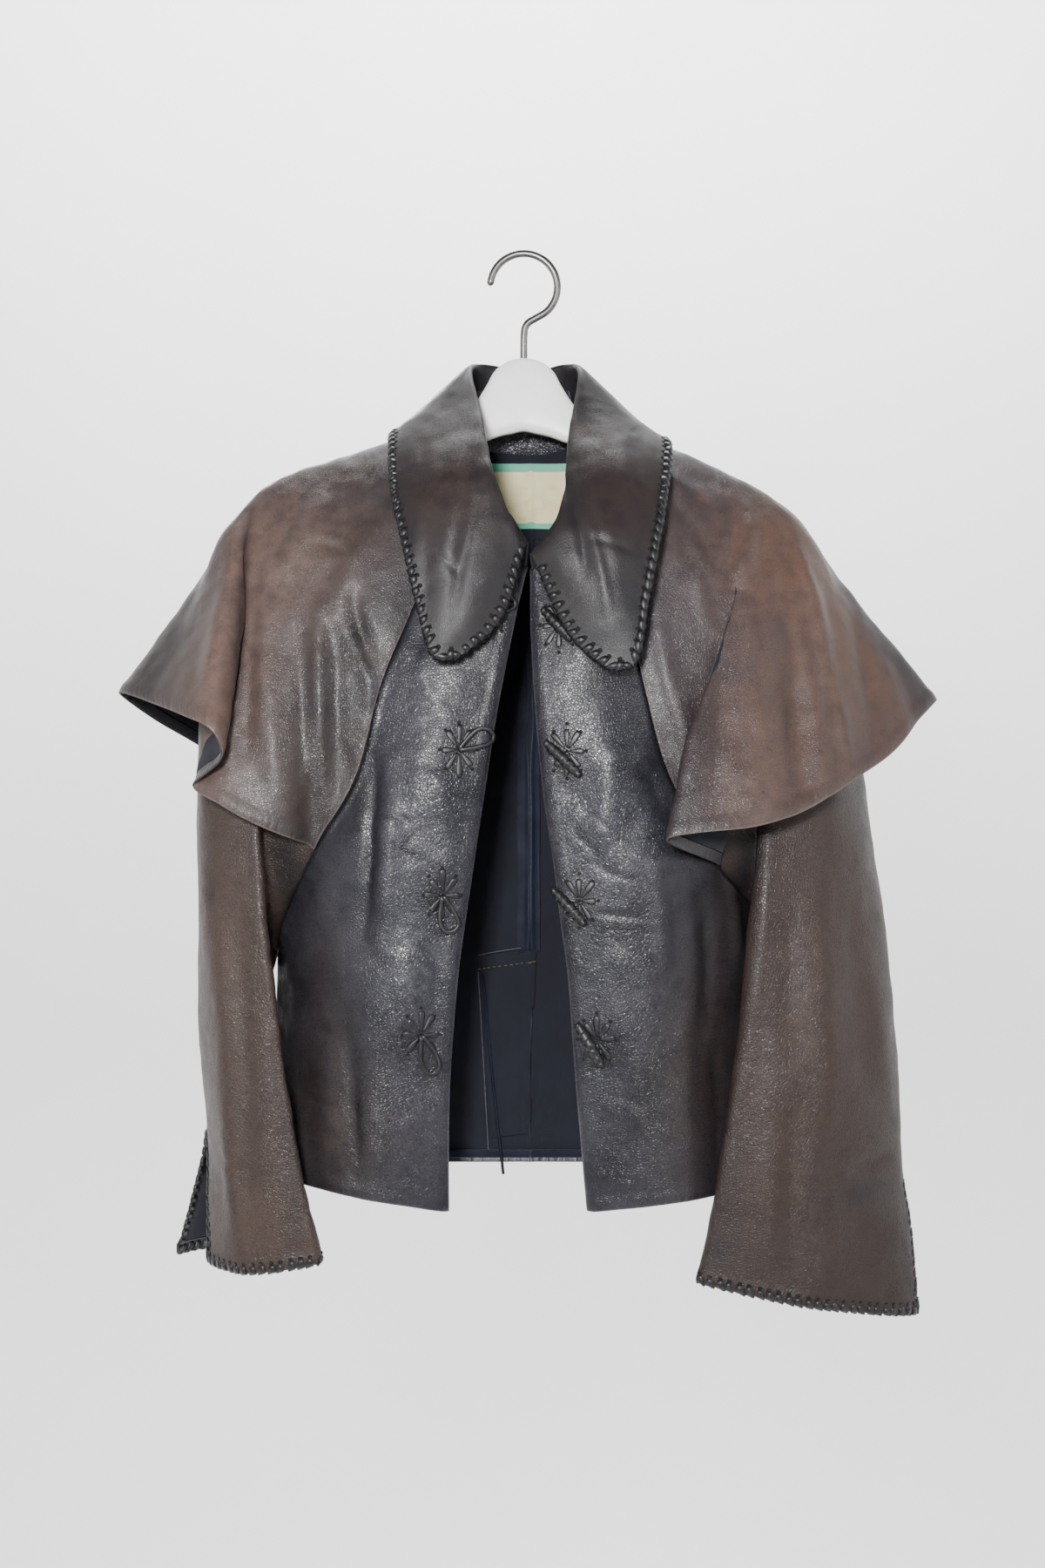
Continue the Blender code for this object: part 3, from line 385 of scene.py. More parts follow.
@dataclass
class Wall:
    """A leather or cloth piece as one or more grids that share an edge, thickened to its wall."""

    name: str
    grids: list[Grid]            # rows x columns x 3, in mm, on the middle of the wall
    normals: list[Grid]
    fields: list[dict[str, Grid]]
    thickness: float = LEATHER

    def build(self, outer: Material, inner: Material, edge: Material) -> Piece:
        """Welds the grids, winds the faces outwards and gives them their wall, rim and edge rounding."""
        points, faces, fields, start = [], [], {}, 0
        for grid, normal, field in zip(self.grids, self.normals, self.fields):
            rows, columns = grid.shape[:2]
            cells = quads_of(rows, columns)
            flat = grid.reshape(-1, 3)
            corner = flat[cells]
            facing = np.cross(corner[:, 2] - corner[:, 0], corner[:, 3] - corner[:, 1])
            if (facing * normal.reshape(-1, 3)[cells[:, 0]]).sum() < 0:
                cells = cells[:, ::-1]
            points.append(flat)
            faces.append(cells + start)
            start += len(flat)
            for key, values in field.items():
                fields.setdefault(key, []).append(values.reshape(len(flat), -1).squeeze())
        points, faces = np.concatenate(points), np.concatenate(faces)
        _, first, index = np.unique(np.round(points, 3), axis=0, return_index=True, return_inverse=True)
        index = index.ravel()
        uv = np.concatenate(fields.pop("uv"))
        kept = {key: np.concatenate(values)[first] for key, values in fields.items()}
        piece = new_mesh(self.name, points[first], index[faces], (outer, inner, edge), kept,
                         uv[faces.ravel()])
        solid = piece.modifiers.new("Leather wall", "SOLIDIFY")
        solid.thickness = self.thickness * MM
        solid.offset = 0.0
        solid.material_offset = 1
        solid.material_offset_rim = 2
        rounding = piece.modifiers.new("Edge rounding", "BEVEL")
        rounding.width = 0.3 * self.thickness * MM
        rounding.segments = 2
        rounding.limit_method = "ANGLE"
        rounding.angle_limit = math.radians(62)
        return piece


@dataclass(frozen=True)
class Wear:
    """A piece's creases, and its marks as rows in mm: where its finish has gone brown or glossy with use,
    where it is pale (partly rubbed wear, partly painted highlight along lit folds), and where it is dark (a
    few real stains, the rest painted shade in creases, folds and recesses).

    A crease is start x and z, end x and z, half width, height (below 0 for a trough) and, where it bends,
    how far it bows aside half way. A mark is centre x and z, two radii, amount and, where it leans, its
    turn in degrees.
    """

    creases: tuple[Row, ...]
    warm: tuple[Row, ...]
    pale: tuple[Row, ...]
    dark: tuple[Row, ...]
    gloss: tuple[Row, ...]

    @staticmethod
    def _crease(points: Grid, x0: float, z0: float, x1: float, z1: float, half_width: float, height: float,
                bow: float = 0.0) -> Grid:
        """Height times a bell across the crease's line, times a half sine along it."""
        origin, way = np.array((x0, z0)), np.array((x1, z1)) - np.array((x0, z0))
        length = np.linalg.norm(way)
        way, side = way / length, np.array([-way[1], way[0]]) / length
        flat = points[..., [0, 2]] - origin
        t = flat @ way / length
        off = flat @ side - bow * 4 * t * (1 - t)
        along = np.sin(np.pi * np.clip(t, 0, 1)) ** 0.7
        return height * along * np.exp(-(off / half_width) ** 2)

    @staticmethod
    def _mark(points: Grid, x: float, z: float, wide: float, high: float, amount: float,
              turn: float = 0.0) -> Grid:
        """The amount times a bell of the distance over the radii."""
        turn = math.radians(turn)
        x, z = points[..., 0] - x, points[..., 2] - z
        along = (x * math.cos(turn) + z * math.sin(turn)) / wide
        across = (z * math.cos(turn) - x * math.sin(turn)) / high
        return amount * np.exp(-along ** 2 - across ** 2)

    def total(self, name: str, points: Grid) -> Grid:
        """Sum at the points of the rows of one name."""
        give = self._crease if name == "creases" else self._mark
        return sum((give(points, *row) for row in getattr(self, name)), np.zeros(points.shape[:-1]))


def ridge(way: Sequence[Row], half_width: float, height: float, over: float = 0.16) -> list[Row]:
    """Creases of one long ridge through points of x and z: a row a span, each passing its ends by a share."""
    return [(x0 - (x1 - x0) * over, z0 - (z1 - z0) * over, x1 + (x1 - x0) * over, z1 + (z1 - z0) * over,
             half_width, height) for (x0, z0), (x1, z1) in zip(way, way[1:])]


# Most pale marks below are painted highlights along lit folds, and most dark marks painted shade in creases,
# folds, recesses and under the arms; the small dark marks at (-234, -495) and (145, -757) are a real scratch
# and stain.
WEAR = {
    "front_right": Wear(
        creases=((-111, -385, -119, -530, 5.5, -4.2, 2), (-98, -385, -108, -540, 9, 3, 2),
            (-129, -590, -119, -712, 5, -2.6, -3), (-112, -600, -104, -715, 9, 2.2),
            (-79, -644, -57, -668, 2.4, -1), (-77, -658, -56, -684, 2.4, -1.1),
            (-84, -674, -65, -697, 2.6, -1), (-139, -636, -122, -662, 2.2, -0.8),
            (-137, -668, -120, -644, 2.2, -0.8), (-134, -687, -122, -713, 2.4, -0.9),
            (-62, -400, -58, -500, 12, 2.4, 4), (-80, -520, -90, -600, 12, 2.6, -3),
            (-66, -520, -70, -640, 6, -1.8, 3), (-150, -560, -152, -700, 9, 2, 4),
            (-104, -430, -83, -440, 2.2, -0.9), (-100, -455, -78, -468, 2.4, -0.8),
            (-96, -300, -72, -352, 9, 2.2, 5), (-58, -250, -88, -330, 6, -2, 3),
            (-165, -590, -135, -604, 3, -1.2, 2), (-175, -640, -140, -652, 3, -1, -2),
            (-98, -706, -62, -722, 3, 0.9), (-92, -560, -62, -572, 2.6, -0.9, 2)),
        warm=((-140, -668, 44, 60, 0.9), (-150, -560, 24, 70, 0.5), (-60, -250, 26, 40, 0.3)),
        pale=((-62, -445, 22, 55, 0.3), (-84, -558, 24, 40, 0.8), (-90, -470, 20, 60, 0.35),
            (-96, -650, 28, 50, 0.3)),
        dark=((-116, -455, 9, 70, 0.8, 3), (-122, -650, 7, 60, 0.6), (-52, -300, 24, 40, 0.4)),
        gloss=((-60, -440, 26, 62, 1), (-84, -558, 28, 40, 1), (-96, -640, 30, 60, 0.6)),
    ),
    "front_left": Wear(
        creases=((47, -506, 92, -511, 3.2, -1.1, 1), (94, -462, 104, -552, 6, 3.4, 2),
            (147, -455, 162, -560, 5, 3.2, 4), (128, -470, 138, -600, 7, -2.4, 3),
            (70, -380, 60, -470, 10, 2.6, -4), (60, -560, 84, -640, 9, 2.2, 4),
            (78, -600, 74, -700, 6, -1.6, -3), (120, -570, 124, -700, 10, 2.8, -4),
            (142, -600, 146, -710, 5, -1.8, 2), (44, -430, 66, -446, 2.4, -1),
            (36, -448, 60, -470, 2.4, -1, 2), (52, -470, 84, -482, 2.6, -0.9, -2),
            (60, -640, 92, -652, 2.6, -0.9, 2), (96, -610, 120, -630, 2.8, -1),
            (62, -250, 78, -330, 7, -2, 3), (50, -700, 90, -714, 3, 0.9), (104, -655, 140, -668, 3, -1, 2),
            (84, -395, 104, -440, 6, -1.6, 3)),
        warm=((130, -640, 40, 110, 0.85), (60, -300, 30, 30, 0.3), (150, -520, 22, 60, 0.5)),
        pale=((45, -455, 26, 46, 0.7), (76, -445, 20, 40, 0.55), (70, -600, 26, 60, 0.35)),
        dark=((72, -512, 30, 5, 0.5), (134, -540, 7, 70, 0.7, -4), (112, -350, 16, 50, 0.4)),
        gloss=((56, -440, 40, 70, 1), (70, -600, 34, 80, 0.6)),
    ),
    "back_right": Wear(
        creases=((-30, -200, -70, -330, 14, 3, 8), (-60, -330, -40, -520, 13, -3, 8),
            (-110, -380, -90, -560, 11, 3, -6), (-130, -470, -140, -690, 10, 3.2, 6),
            (-112, -560, -116, -700, 7, -2.6, 3), (-70, -560, -64, -700, 10, 2.8, 4),
            (-30, -480, -24, -700, 9, 2.4, -3), (-150, -500, -100, -540, 4, -1.8, 4),
            (-140, -560, -96, -590, 4, -1.4, -3), (-96, -420, -52, -440, 5, -1.4, 3)),
        warm=((-120, -640, 60, 80, 0.6), (-60, -240, 60, 60, 0.4)),
        pale=((-70, -420, 50, 90, 0.45), (-60, -620, 50, 60, 0.4)),
        dark=((-170, -520, 20, 60, 0.5),),
        gloss=((-70, -430, 60, 110, 0.8), (-60, -640, 60, 60, 0.7)),
    ),
    "back_left": Wear(
        creases=((30, -200, 76, -340, 14, 3, -8), (50, -320, 44, -500, 13, -2.8, -7),
            (104, -380, 84, -580, 12, 3, 6), (132, -480, 136, -690, 10, 3, -6),
            (110, -570, 112, -700, 7, -2.6, -3), (66, -570, 60, -700, 10, 2.6, -4),
            (30, -460, 26, -700, 8, 2.2, 3), (146, -510, 98, -548, 4, -1.8, -4),
            (138, -580, 92, -604, 4, -1.4, 3), (94, -430, 48, -446, 5, -1.4, -3)),
        warm=((118, -630, 60, 80, 0.6), (66, -240, 60, 60, 0.4)),
        pale=((70, -440, 50, 90, 0.45), (60, -610, 50, 60, 0.4)),
        dark=((170, -520, 20, 60, 0.5),),
        gloss=((70, -450, 60, 110, 0.8), (60, -640, 60, 60, 0.7)),
    ),
    "sleeve_right": Wear(
        creases=(
            *ridge(((-199, -455), (-192, -525), (-182, -592), (-174, -652), (-162, -717), (-154, -765)),
                   4.5, 2.6),
            (-216, -470, -206, -760, 9, -3.4, 4), (-228, -520, -224, -640, 8, 2.4, 3),
            (-222, -640, -212, -770, 7, 2.4, -3), (-236, -560, -214, -574, 4, -1.2, 2),
            (-232, -690, -204, -700, 4, -1.2, -2), (-185, -560, -178, -700, 5, -2, 2),
            (-200, -640, -186, -652, 3, -1), (-240, -470, -220, -486, 4, -1.2, -2)),
        warm=((-232, -560, 30, 140, 0.5), (-190, -740, 40, 40, 0.4)),
        pale=((-216, -600, 14, 120, 0.4), (-222, -740, 24, 40, 0.3)),
        dark=((-176, -480, 14, 70, 0.9, 12), (-234, -495, 3, 8, 0.9), (-170, -690, 8, 90, 0.5)),
        gloss=((-195, -560, 14, 160, 0.8), (-180, -700, 20, 80, 0.7)),
    ),
    "sleeve_left": Wear(
        creases=(*ridge(((181, -450), (176, -520), (165, -600), (150, -690), (138, -770)), 5, 2.4),
            (244, -703, 280, -695, 5, -3.2, 2), (200, -470, 198, -620, 10, -3, -4),
            (216, -500, 222, -680, 10, 2.8, 4), (240, -480, 256, -640, 9, -2.2, 3),
            (180, -620, 176, -780, 10, 2.8, 3), (200, -640, 200, -790, 8, -2.6, -3),
            (226, -700, 226, -800, 8, 2.4, 2), (250, -720, 252, -810, 6, -1.8, 2),
            (270, -560, 284, -680, 8, 2, -3), (170, -590, 214, -602, 4, -1.2, 3),
            (176, -660, 224, -672, 4, -1.2, -3), (236, -560, 266, -572, 4, -1, 2)),
        warm=((240, -560, 50, 150, 0.55), (180, -700, 30, 80, 0.3)),
        pale=((206, -560, 20, 120, 0.45), (230, -720, 40, 40, 0.35)),
        dark=((145, -757, 6, 7, 0.9), (168, -470, 9, 50, 0.9, -8), (254, -716, 26, 8, 0.6, 8),
            (152, -640, 8, 120, 0.4)),
        gloss=((184, -500, 12, 90, 0.9), (200, -650, 40, 120, 0.6)),
    ),
    "cape_right": Wear(
        creases=((-200, -260, -176, -440, 11, 4.4, -2), (-168, -290, -164, -440, 6, -2.6, 2),
            (-154, -270, -148, -440, 6, 3.6), (-140, -290, -136, -440, 6, -2.2),
            (-128, -262, -112, -330, 6, -4.2, -2), (-126, -300, -112, -356, 6, 3, 2),
            (-118, -210, -150, -290, 10, 3, 6), (-90, -180, -136, -240, 8, -2.6, -5),
            (-150, -190, -196, -260, 10, 2.8, 5), (-204, -240, -206, -400, 7, -3, 3),
            (-228, -246, -226, -398, 9, 3, -2), (-252, -250, -262, -360, 9, -2.4, 3),
            (-268, -270, -290, -345, 8, 2.4, 3), (-132, -380, -122, -450, 4, -1.8),
            (-160, -230, -132, -240, 4, -1.4, 3)),
        warm=((-262, -320, 70, 110, 1), (-190, -230, 70, 70, 0.6), (-230, -370, 30, 70, 0.3)),
        pale=((-186, -370, 14, 80, 0.7), (-140, -360, 10, 90, 0.6), (-112, -320, 8, 40, 0.6),
            (-140, -200, 40, 30, 0.3)),
        dark=((-118, -296, 9, 34, 0.6, -60), (-212, -300, 4, 110, 0.8), (-138, -370, 50, 90, 0.45)),
        gloss=((-150, -350, 50, 110, 0.8),),
    ),
    "cape_left": Wear(
        creases=((120, -205, 146, -262, 5, 2.8, -4), (128, -232, 140, -300, 5, 2.2, -3),
            (108, -190, 130, -250, 6, -2.6, 4), (206, -227, 230, -330, 6, 3.4, 3),
            (230, -320, 242, -410, 6, 3.2), (96, -270, 122, -385, 6, 3.4, -3),
            (197, -260, 199, -452, 9, -4.2, 2), (172, -260, 164, -440, 12, 3.4, 5),
            (146, -300, 134, -430, 7, -3, 3), (120, -330, 112, -440, 8, 2.6, 3),
            (214, -300, 226, -440, 7, 2.8, -3), (250, -270, 262, -400, 7, -2.6, 3),
            (268, -280, 290, -380, 8, 2.4, 3), (60, -180, 104, -240, 8, -2.4, 5),
            (84, -166, 150, -214, 10, 2.6, 6), (150, -420, 186, -432, 5, 1.2, 2),
            (151, -264, 163, -208, 5, -2.6), (161, -266, 174, -204, 7, 3.4)),
        warm=((250, -300, 80, 120, 0.9, 30), (180, -400, 48, 80, 0.7), (136, -195, 5, 5, 0.7),
            (196, -230, 56, 50, 0.6)),
        pale=((160, -250, 30, 50, 0.5), (108, -330, 12, 60, 0.6, 12), (222, -310, 12, 90, 0.5, 10),
            (152, -421, 36, 22, 0.9)),
        dark=((197, -350, 12, 100, 0.3), (116, -380, 22, 110, 0.55, -12)),
        gloss=((150, -400, 60, 60, 1), (150, -250, 60, 60, 0.7)),
    ),
    "collar": Wear(
        creases=((-46, -150, -62, -260, 8, 2.2, 5), (-30, -190, -52, -300, 5, -1.6, -4),
            (-76, -150, -72, -300, 6, -1.4, 2), (48, -150, 72, -262, 8, 2.2, -5),
            (28, -180, 46, -262, 4, -2.2, 3), (40, -200, 62, -290, 4, 1.6, 3),
            (80, -150, 86, -290, 6, -1.4, 2), (-70, -240, -44, -262, 3, -0.9, 2),
            (44, -232, 84, -244, 3, -0.9, 2), (-12, -212, -4, -242, 4, 2)),
        warm=((-60, -190, 50, 60, 0.6), (70, -190, 50, 60, 0.6), (42, -144, 5, 5, 1)),
        pale=((-45, -180, 22, 40, 0.5), (-58, -290, 26, 40, 0.4), (70, -290, 26, 40, 0.4)),
        dark=((36, -235, 9, 40, 0.4),),
        gloss=((-45, -190, 40, 60, 1), (60, -230, 50, 90, 0.8)),
    ),
}


@dataclass
class Panel:
    """One cut panel of leather: its surface with creases, sewn and turned edges, and marks of wear, painted
    highlight and painted shade.
    """

    name: str
    points: Grid
    outward: Any
    seams: tuple[str, ...]               # sewn edges, of "top", "bottom", "start" and "end"
    hem: str | None = "bottom"           # turned edge
    facing: Grid | float = 1.0           # where the creases apply
    seed: int = 1
    roll: float = 0.0                    # how far the starting edge rolls back, in mm
    undulation: float = 0.75
    swell: float = 0.0                   # broad unevenness, in mm
    calm: Grid | float = 1.0             # 0 where the panel lies flat under another
    seam_calm: float = 7.0               # creases die out this near to a sewn edge
    seam_dip: float = 1.3                # how far a sewn edge is drawn in,
    seam_width: float = 2.8              # and over what width
    roll_width: float = 8.5
    hem_turn: Row = (0.9, 2.2)           # dip and width of the turned edge
    hem_swell: Row = (0.5, 7.0, 3.0)     # height, distance from the edge and width of the swell beside it

    def __post_init__(self) -> None:
        """Measures the panel, presses the creases in and reads its marks."""
        across, down = lengths_of(self.points)
        self.distance = {"start": across, "end": across[:, -1:] - across,
                         "top": down, "bottom": down[-1:] - down}
        self.uv = np.stack([across, down], axis=-1)
        normal = normals_of(self.points, self.outward)
        self.grid = self.points + normal * self._height()[..., None]
        self.normal = normals_of(self.grid, self.outward)
        self.fields = self._fields()

    def _height(self) -> Grid:
        """Creases and unevenness, calmed at the seams, with the seams drawn in and the free edge rolled."""
        height = WEAR[self.name].total("creases", self.points) * self.facing
        height = height + self.undulation * (unevenness(self.points, 26, self.seed)
                                             + 0.45 * unevenness(self.points, 9, self.seed + 1))
        height = height + self.swell * unevenness(self.points, 58, self.seed + 2)
        height = height * self.calm
        for edge in self.seams:
            near = self.distance[edge]
            height = (height * smooth_step(near / self.seam_calm)
                      - self.seam_dip * np.exp(-(near / self.seam_width) ** 2))
        if self.roll:
            height = height - self.roll * np.clip(1 - self.distance["start"] / self.roll_width, 0, 1) ** 2
        if self.hem:
            near = self.distance[self.hem]
            (dip, width), (swell, place, reach) = self.hem_turn, self.hem_swell
            height = (height - dip * np.exp(-(near / width) ** 2)
                      + swell * np.exp(-((near - place) / reach) ** 2))
        return height

    def _fields(self) -> dict[str, Grid]:
        """Flat coordinates, distances to seam and hem in mm, and the strength of each mark."""
        far = np.full(self.points.shape[:2], 99.0)
        seam = np.minimum.reduce([far, *(self.distance[edge] for edge in self.seams)])
        marks = {name: np.clip(WEAR[self.name].total(name, self.points) * self.facing, 0, 1.2)
                 for name in ("warm", "pale", "dark", "gloss")}
        hem = self.distance[self.hem] if self.hem else far
        free = self.distance["start"] if self.roll else far
        return {"uv": self.uv, "seam": seam, "hem": np.minimum(hem, free), **marks}

    def part(self, columns: slice) -> PanelPart:
        """The grid, normals and fields of some of the columns."""
        return (self.grid[:, columns], self.normal[:, columns],
                {key: values[:, columns] for key, values in self.fields.items()})


class Surface:
    """Finished panels as samples, for laying small pieces on them."""

    def __init__(self, *panels: Panel) -> None:
        """Gathers the panels' points and outward normals."""
        self.points = np.concatenate([panel.grid.reshape(-1, 3) for panel in panels])
        self.normals = np.concatenate([panel.normal.reshape(-1, 3) for panel in panels])

    def at(self, x: Any, z: Any, lift: Any) -> tuple[Grid, Grid]:
        """Points and normals over (x, z), lifted from the nearest samples' tangent planes."""
        x, z, lift = (np.asarray(item, float) for item in np.broadcast_arrays(x, z, lift))
        flat = np.stack([x.ravel(), z.ravel()], axis=-1)
        nearest = np.concatenate([
            ((some[:, None] - self.points[None, :, [0, 2]]) ** 2).sum(-1).argmin(axis=1)
            for some in np.array_split(flat, max(1, len(flat) // 120))])
        spot, normal = self.points[nearest], self.normals[nearest]
        offset = (flat[:, 0] - spot[:, 0]) * normal[:, 0] + (flat[:, 1] - spot[:, 2]) * normal[:, 2]
        base = np.stack([flat[:, 0], spot[:, 1] - offset / normal[:, 1], flat[:, 1]], axis=-1)
        raised = base + normal * lift.ravel()[:, None]
        return raised.reshape(*x.shape, 3), normal.reshape(*x.shape, 3)


def side_lines(side: Side) -> dict[str, Grid]:
    """All style lines of one side of the body, with the shared ones mirrored to the left."""
    lines = {name: np.array(rows, float) for name, rows in BODY_LINES[side].items()}
    for name, rows in SHARED_LINES.items():
        lines[name] = np.array(rows, float) * (-side.value, 1, 1)
    lines["back_centre"] = np.array([(CENTRE_SEAM_X, y, z) for y, z in BACK_CENTRE], float)
    return lines


def body_loft(side: Side, names: Sequence[str], raglan: str) -> Loft:
    """A front or half the back, through the named lines and then the raglan and side seams."""
    lines = side_lines(side)
    outer = np.concatenate([lines[raglan], lines["side_seam"]])
    return Loft([*(lines[name] for name in names), outer], cornered=(3,))


def sleeve_loft(side: Side) -> Loft:
    """A raglan sleeve, from its front seam over the ridge to its back seam."""
    lines, own = side_lines(side), SLEEVE_LINES[side]
    under = np.array(own["underarm"], float)
    front_seam = np.concatenate([lines["raglan_front"], under])
    back_seam = np.concatenate([lines["raglan_back"], under])
    hollow = np.array(INNER_HOLLOW, float)
    inner = (front_seam + own["crease"]) / 2
    inner[:, 0] += side.value * hollow[:, 0]
    inner[:, 1] += hollow[:, 1]
    return Loft([front_seam, inner, own["crease"], own["front"], own["ridge"], own["back"],
                 own["back_crease"], back_seam], cornered=(0, 7))


def collar_stations(side: Side) -> list[Grid]:
    """One side's stations from the front end: each its neckline point, fold, middle of the leaf and edge."""
    places = {**side_lines(side), **SLEEVE_LINES[side]}
    neck = [places[name][0] for name in ("front_edge", "front_belly", "front_side", "raglan_front", "crease",
                                         "ridge", "raglan_back")]
    rows = [*COLLAR_STATIONS[side], np.array(COLLAR_BACK["side"], float) * (side.value, 1, 1)]
    return [np.vstack([base, row]) for base, row in zip(neck, rows)]


def collar_loft() -> Loft:
    """The collar's stations from the right front end, round the back, to the left front end."""
    centre = np.array([(CENTRE_SEAM_X, *BACK_CENTRE[0]), *COLLAR_BACK["centre"]], float)
    return Loft([*collar_stations(Side.RIGHT), centre, *collar_stations(Side.LEFT)[::-1]])


def rounded(points: Grid, radius: float) -> Grid:
    """The grid with both lower corners rounded: with u and v the shares of the radius from each edge,
    u goes to u sqrt(1 - v^2 / 2) and v to v sqrt(1 - u^2 / 2).
    """
    across, down = lengths_of(points)
    ways = unit(np.gradient(points, axis=1)), -unit(np.gradient(points, axis=0))
    moved = points.copy()
    for sign, aside in ((1, across), (-1, across[:, -1:] - across)):
        u = np.clip(1 - aside / radius, 0, 1)
        v = np.clip(1 - (down[-1:] - down) / radius, 0, 1)
        drawn = radius * np.stack([u - u * np.sqrt(1 - v ** 2 / 2), v - v * np.sqrt(1 - u ** 2 / 2)])
        moved += drawn[0][..., None] * ways[0] * sign + drawn[1][..., None] * ways[1]
    return moved


def softened(points: Grid, passes: int) -> Grid:
    """The grid smoothed along its columns, each pass a quarter, a half and a quarter; the ends stay."""
    points = points.copy()
    for _ in range(passes):
        points[1:-1] = points[:-2] / 4 + points[1:-1] / 2 + points[2:] / 4
    return points


@dataclass
class Body:
    """Both fronts and both backs, open in front, with raglan and side seams."""

    front_spacing: float = 2.1
    back_spacing: float = 3.0
    front_roll: float = 4.2

    def front(self, side: Side) -> Panel:
        """One front, its open edge rolled back."""
        loft = body_loft(side, ("front_edge", "front_belly", "front_side"), "raglan_front")
        points = let_out(loft.points(*loft.even_places(self.front_spacing)), ("top", "end"))
        return Panel(f"front_{side.word}", points, (0, -1, 0), ("top", "end"), seed=10 + side.value,
                     roll=self.front_roll, undulation=0.9, swell=3.2)

    def back(self, side: Side) -> Panel:
        """Half the back, sewn to the other at the centre."""
        loft = body_loft(side, ("back_centre", "back_mid", "back_side"), "raglan_back")
        points = let_out(loft.points(*loft.even_places(self.back_spacing)), ("top", "start", "end"))
        return Panel(f"back_{side.word}", points, (0, 1, 0), ("top", "start", "end"), seed=20 + side.value)


@dataclass
class Sleeve:
    """A raglan sleeve closed below the underarm, with a slit open at the outside of the cuff."""

    side: Side
    rows: int = 225
    columns: int = 116
    slit_reach: float = 0.2      # share of the sleeve's girth over which the lips spread

    def panel(self) -> Panel:
        """The whole sleeve as one grid, the creases on its front half only."""
        loft = sleeve_loft(self.side)
        along = np.linspace(0, loft.along[-1], self.rows + 1)
        front = np.linspace(0, loft.across[RIDGE], self.columns // 2 + 1)
        across = np.concatenate([front, np.linspace(loft.across[RIDGE], 1, self.columns // 2 + 1)[1:]])
        points = let_out(loft.points(along, across), ("top", "start", "end"))
        self.loft, self.along, self.across = loft, along, across
        self.closed = along >= UNDERARM
        self._close(points)
        outward = points - points.mean(axis=1, keepdims=True)
        shown = smooth_step((loft.across[RIDGE] + 0.04 - across) / 0.08)[None, :]
        calm = smooth_step((along - CAPE_END + 0.6) / 0.8)[:, None]
        panel = Panel(f"sleeve_{self.side.word}", points, outward, ("start", "end"), facing=shown,
                      seed=30 + self.side.value, calm=calm, swell=1.8)
        self._close(panel.grid)
        return panel

    def _close(self, points: Grid) -> None:
        """Brings both seam edges together below the underarm."""
        seam = (points[self.closed, 0] + points[self.closed, -1]) / 2
        points[self.closed, 0] = points[self.closed, -1] = seam

    def halves(self, panel: Panel) -> list[PanelPart]:
        """Front and back halves, parted below the slit's top by the opening of its two lips."""
        place = (self.along - SLIT_TOP) / (self.along[-1] - SLIT_TOP)
        opening = np.clip(place, 0, 1)[:, None, None] ** 1.2
        near = np.clip(1 - abs(self.across - self.loft.across[RIDGE]) / self.slit_reach, 0, 1)
        near = near[None, :, None] ** 1.5
        split = self.columns // 2
        halves = []
        for lip, columns in zip(SLIT_OPENING[self.side], (slice(None, split + 1), slice(split, None))):
            grid, normal, fields = panel.part(columns)
            halves.append((grid + (opening * near * lip)[:, columns], normal, fields))
        return halves


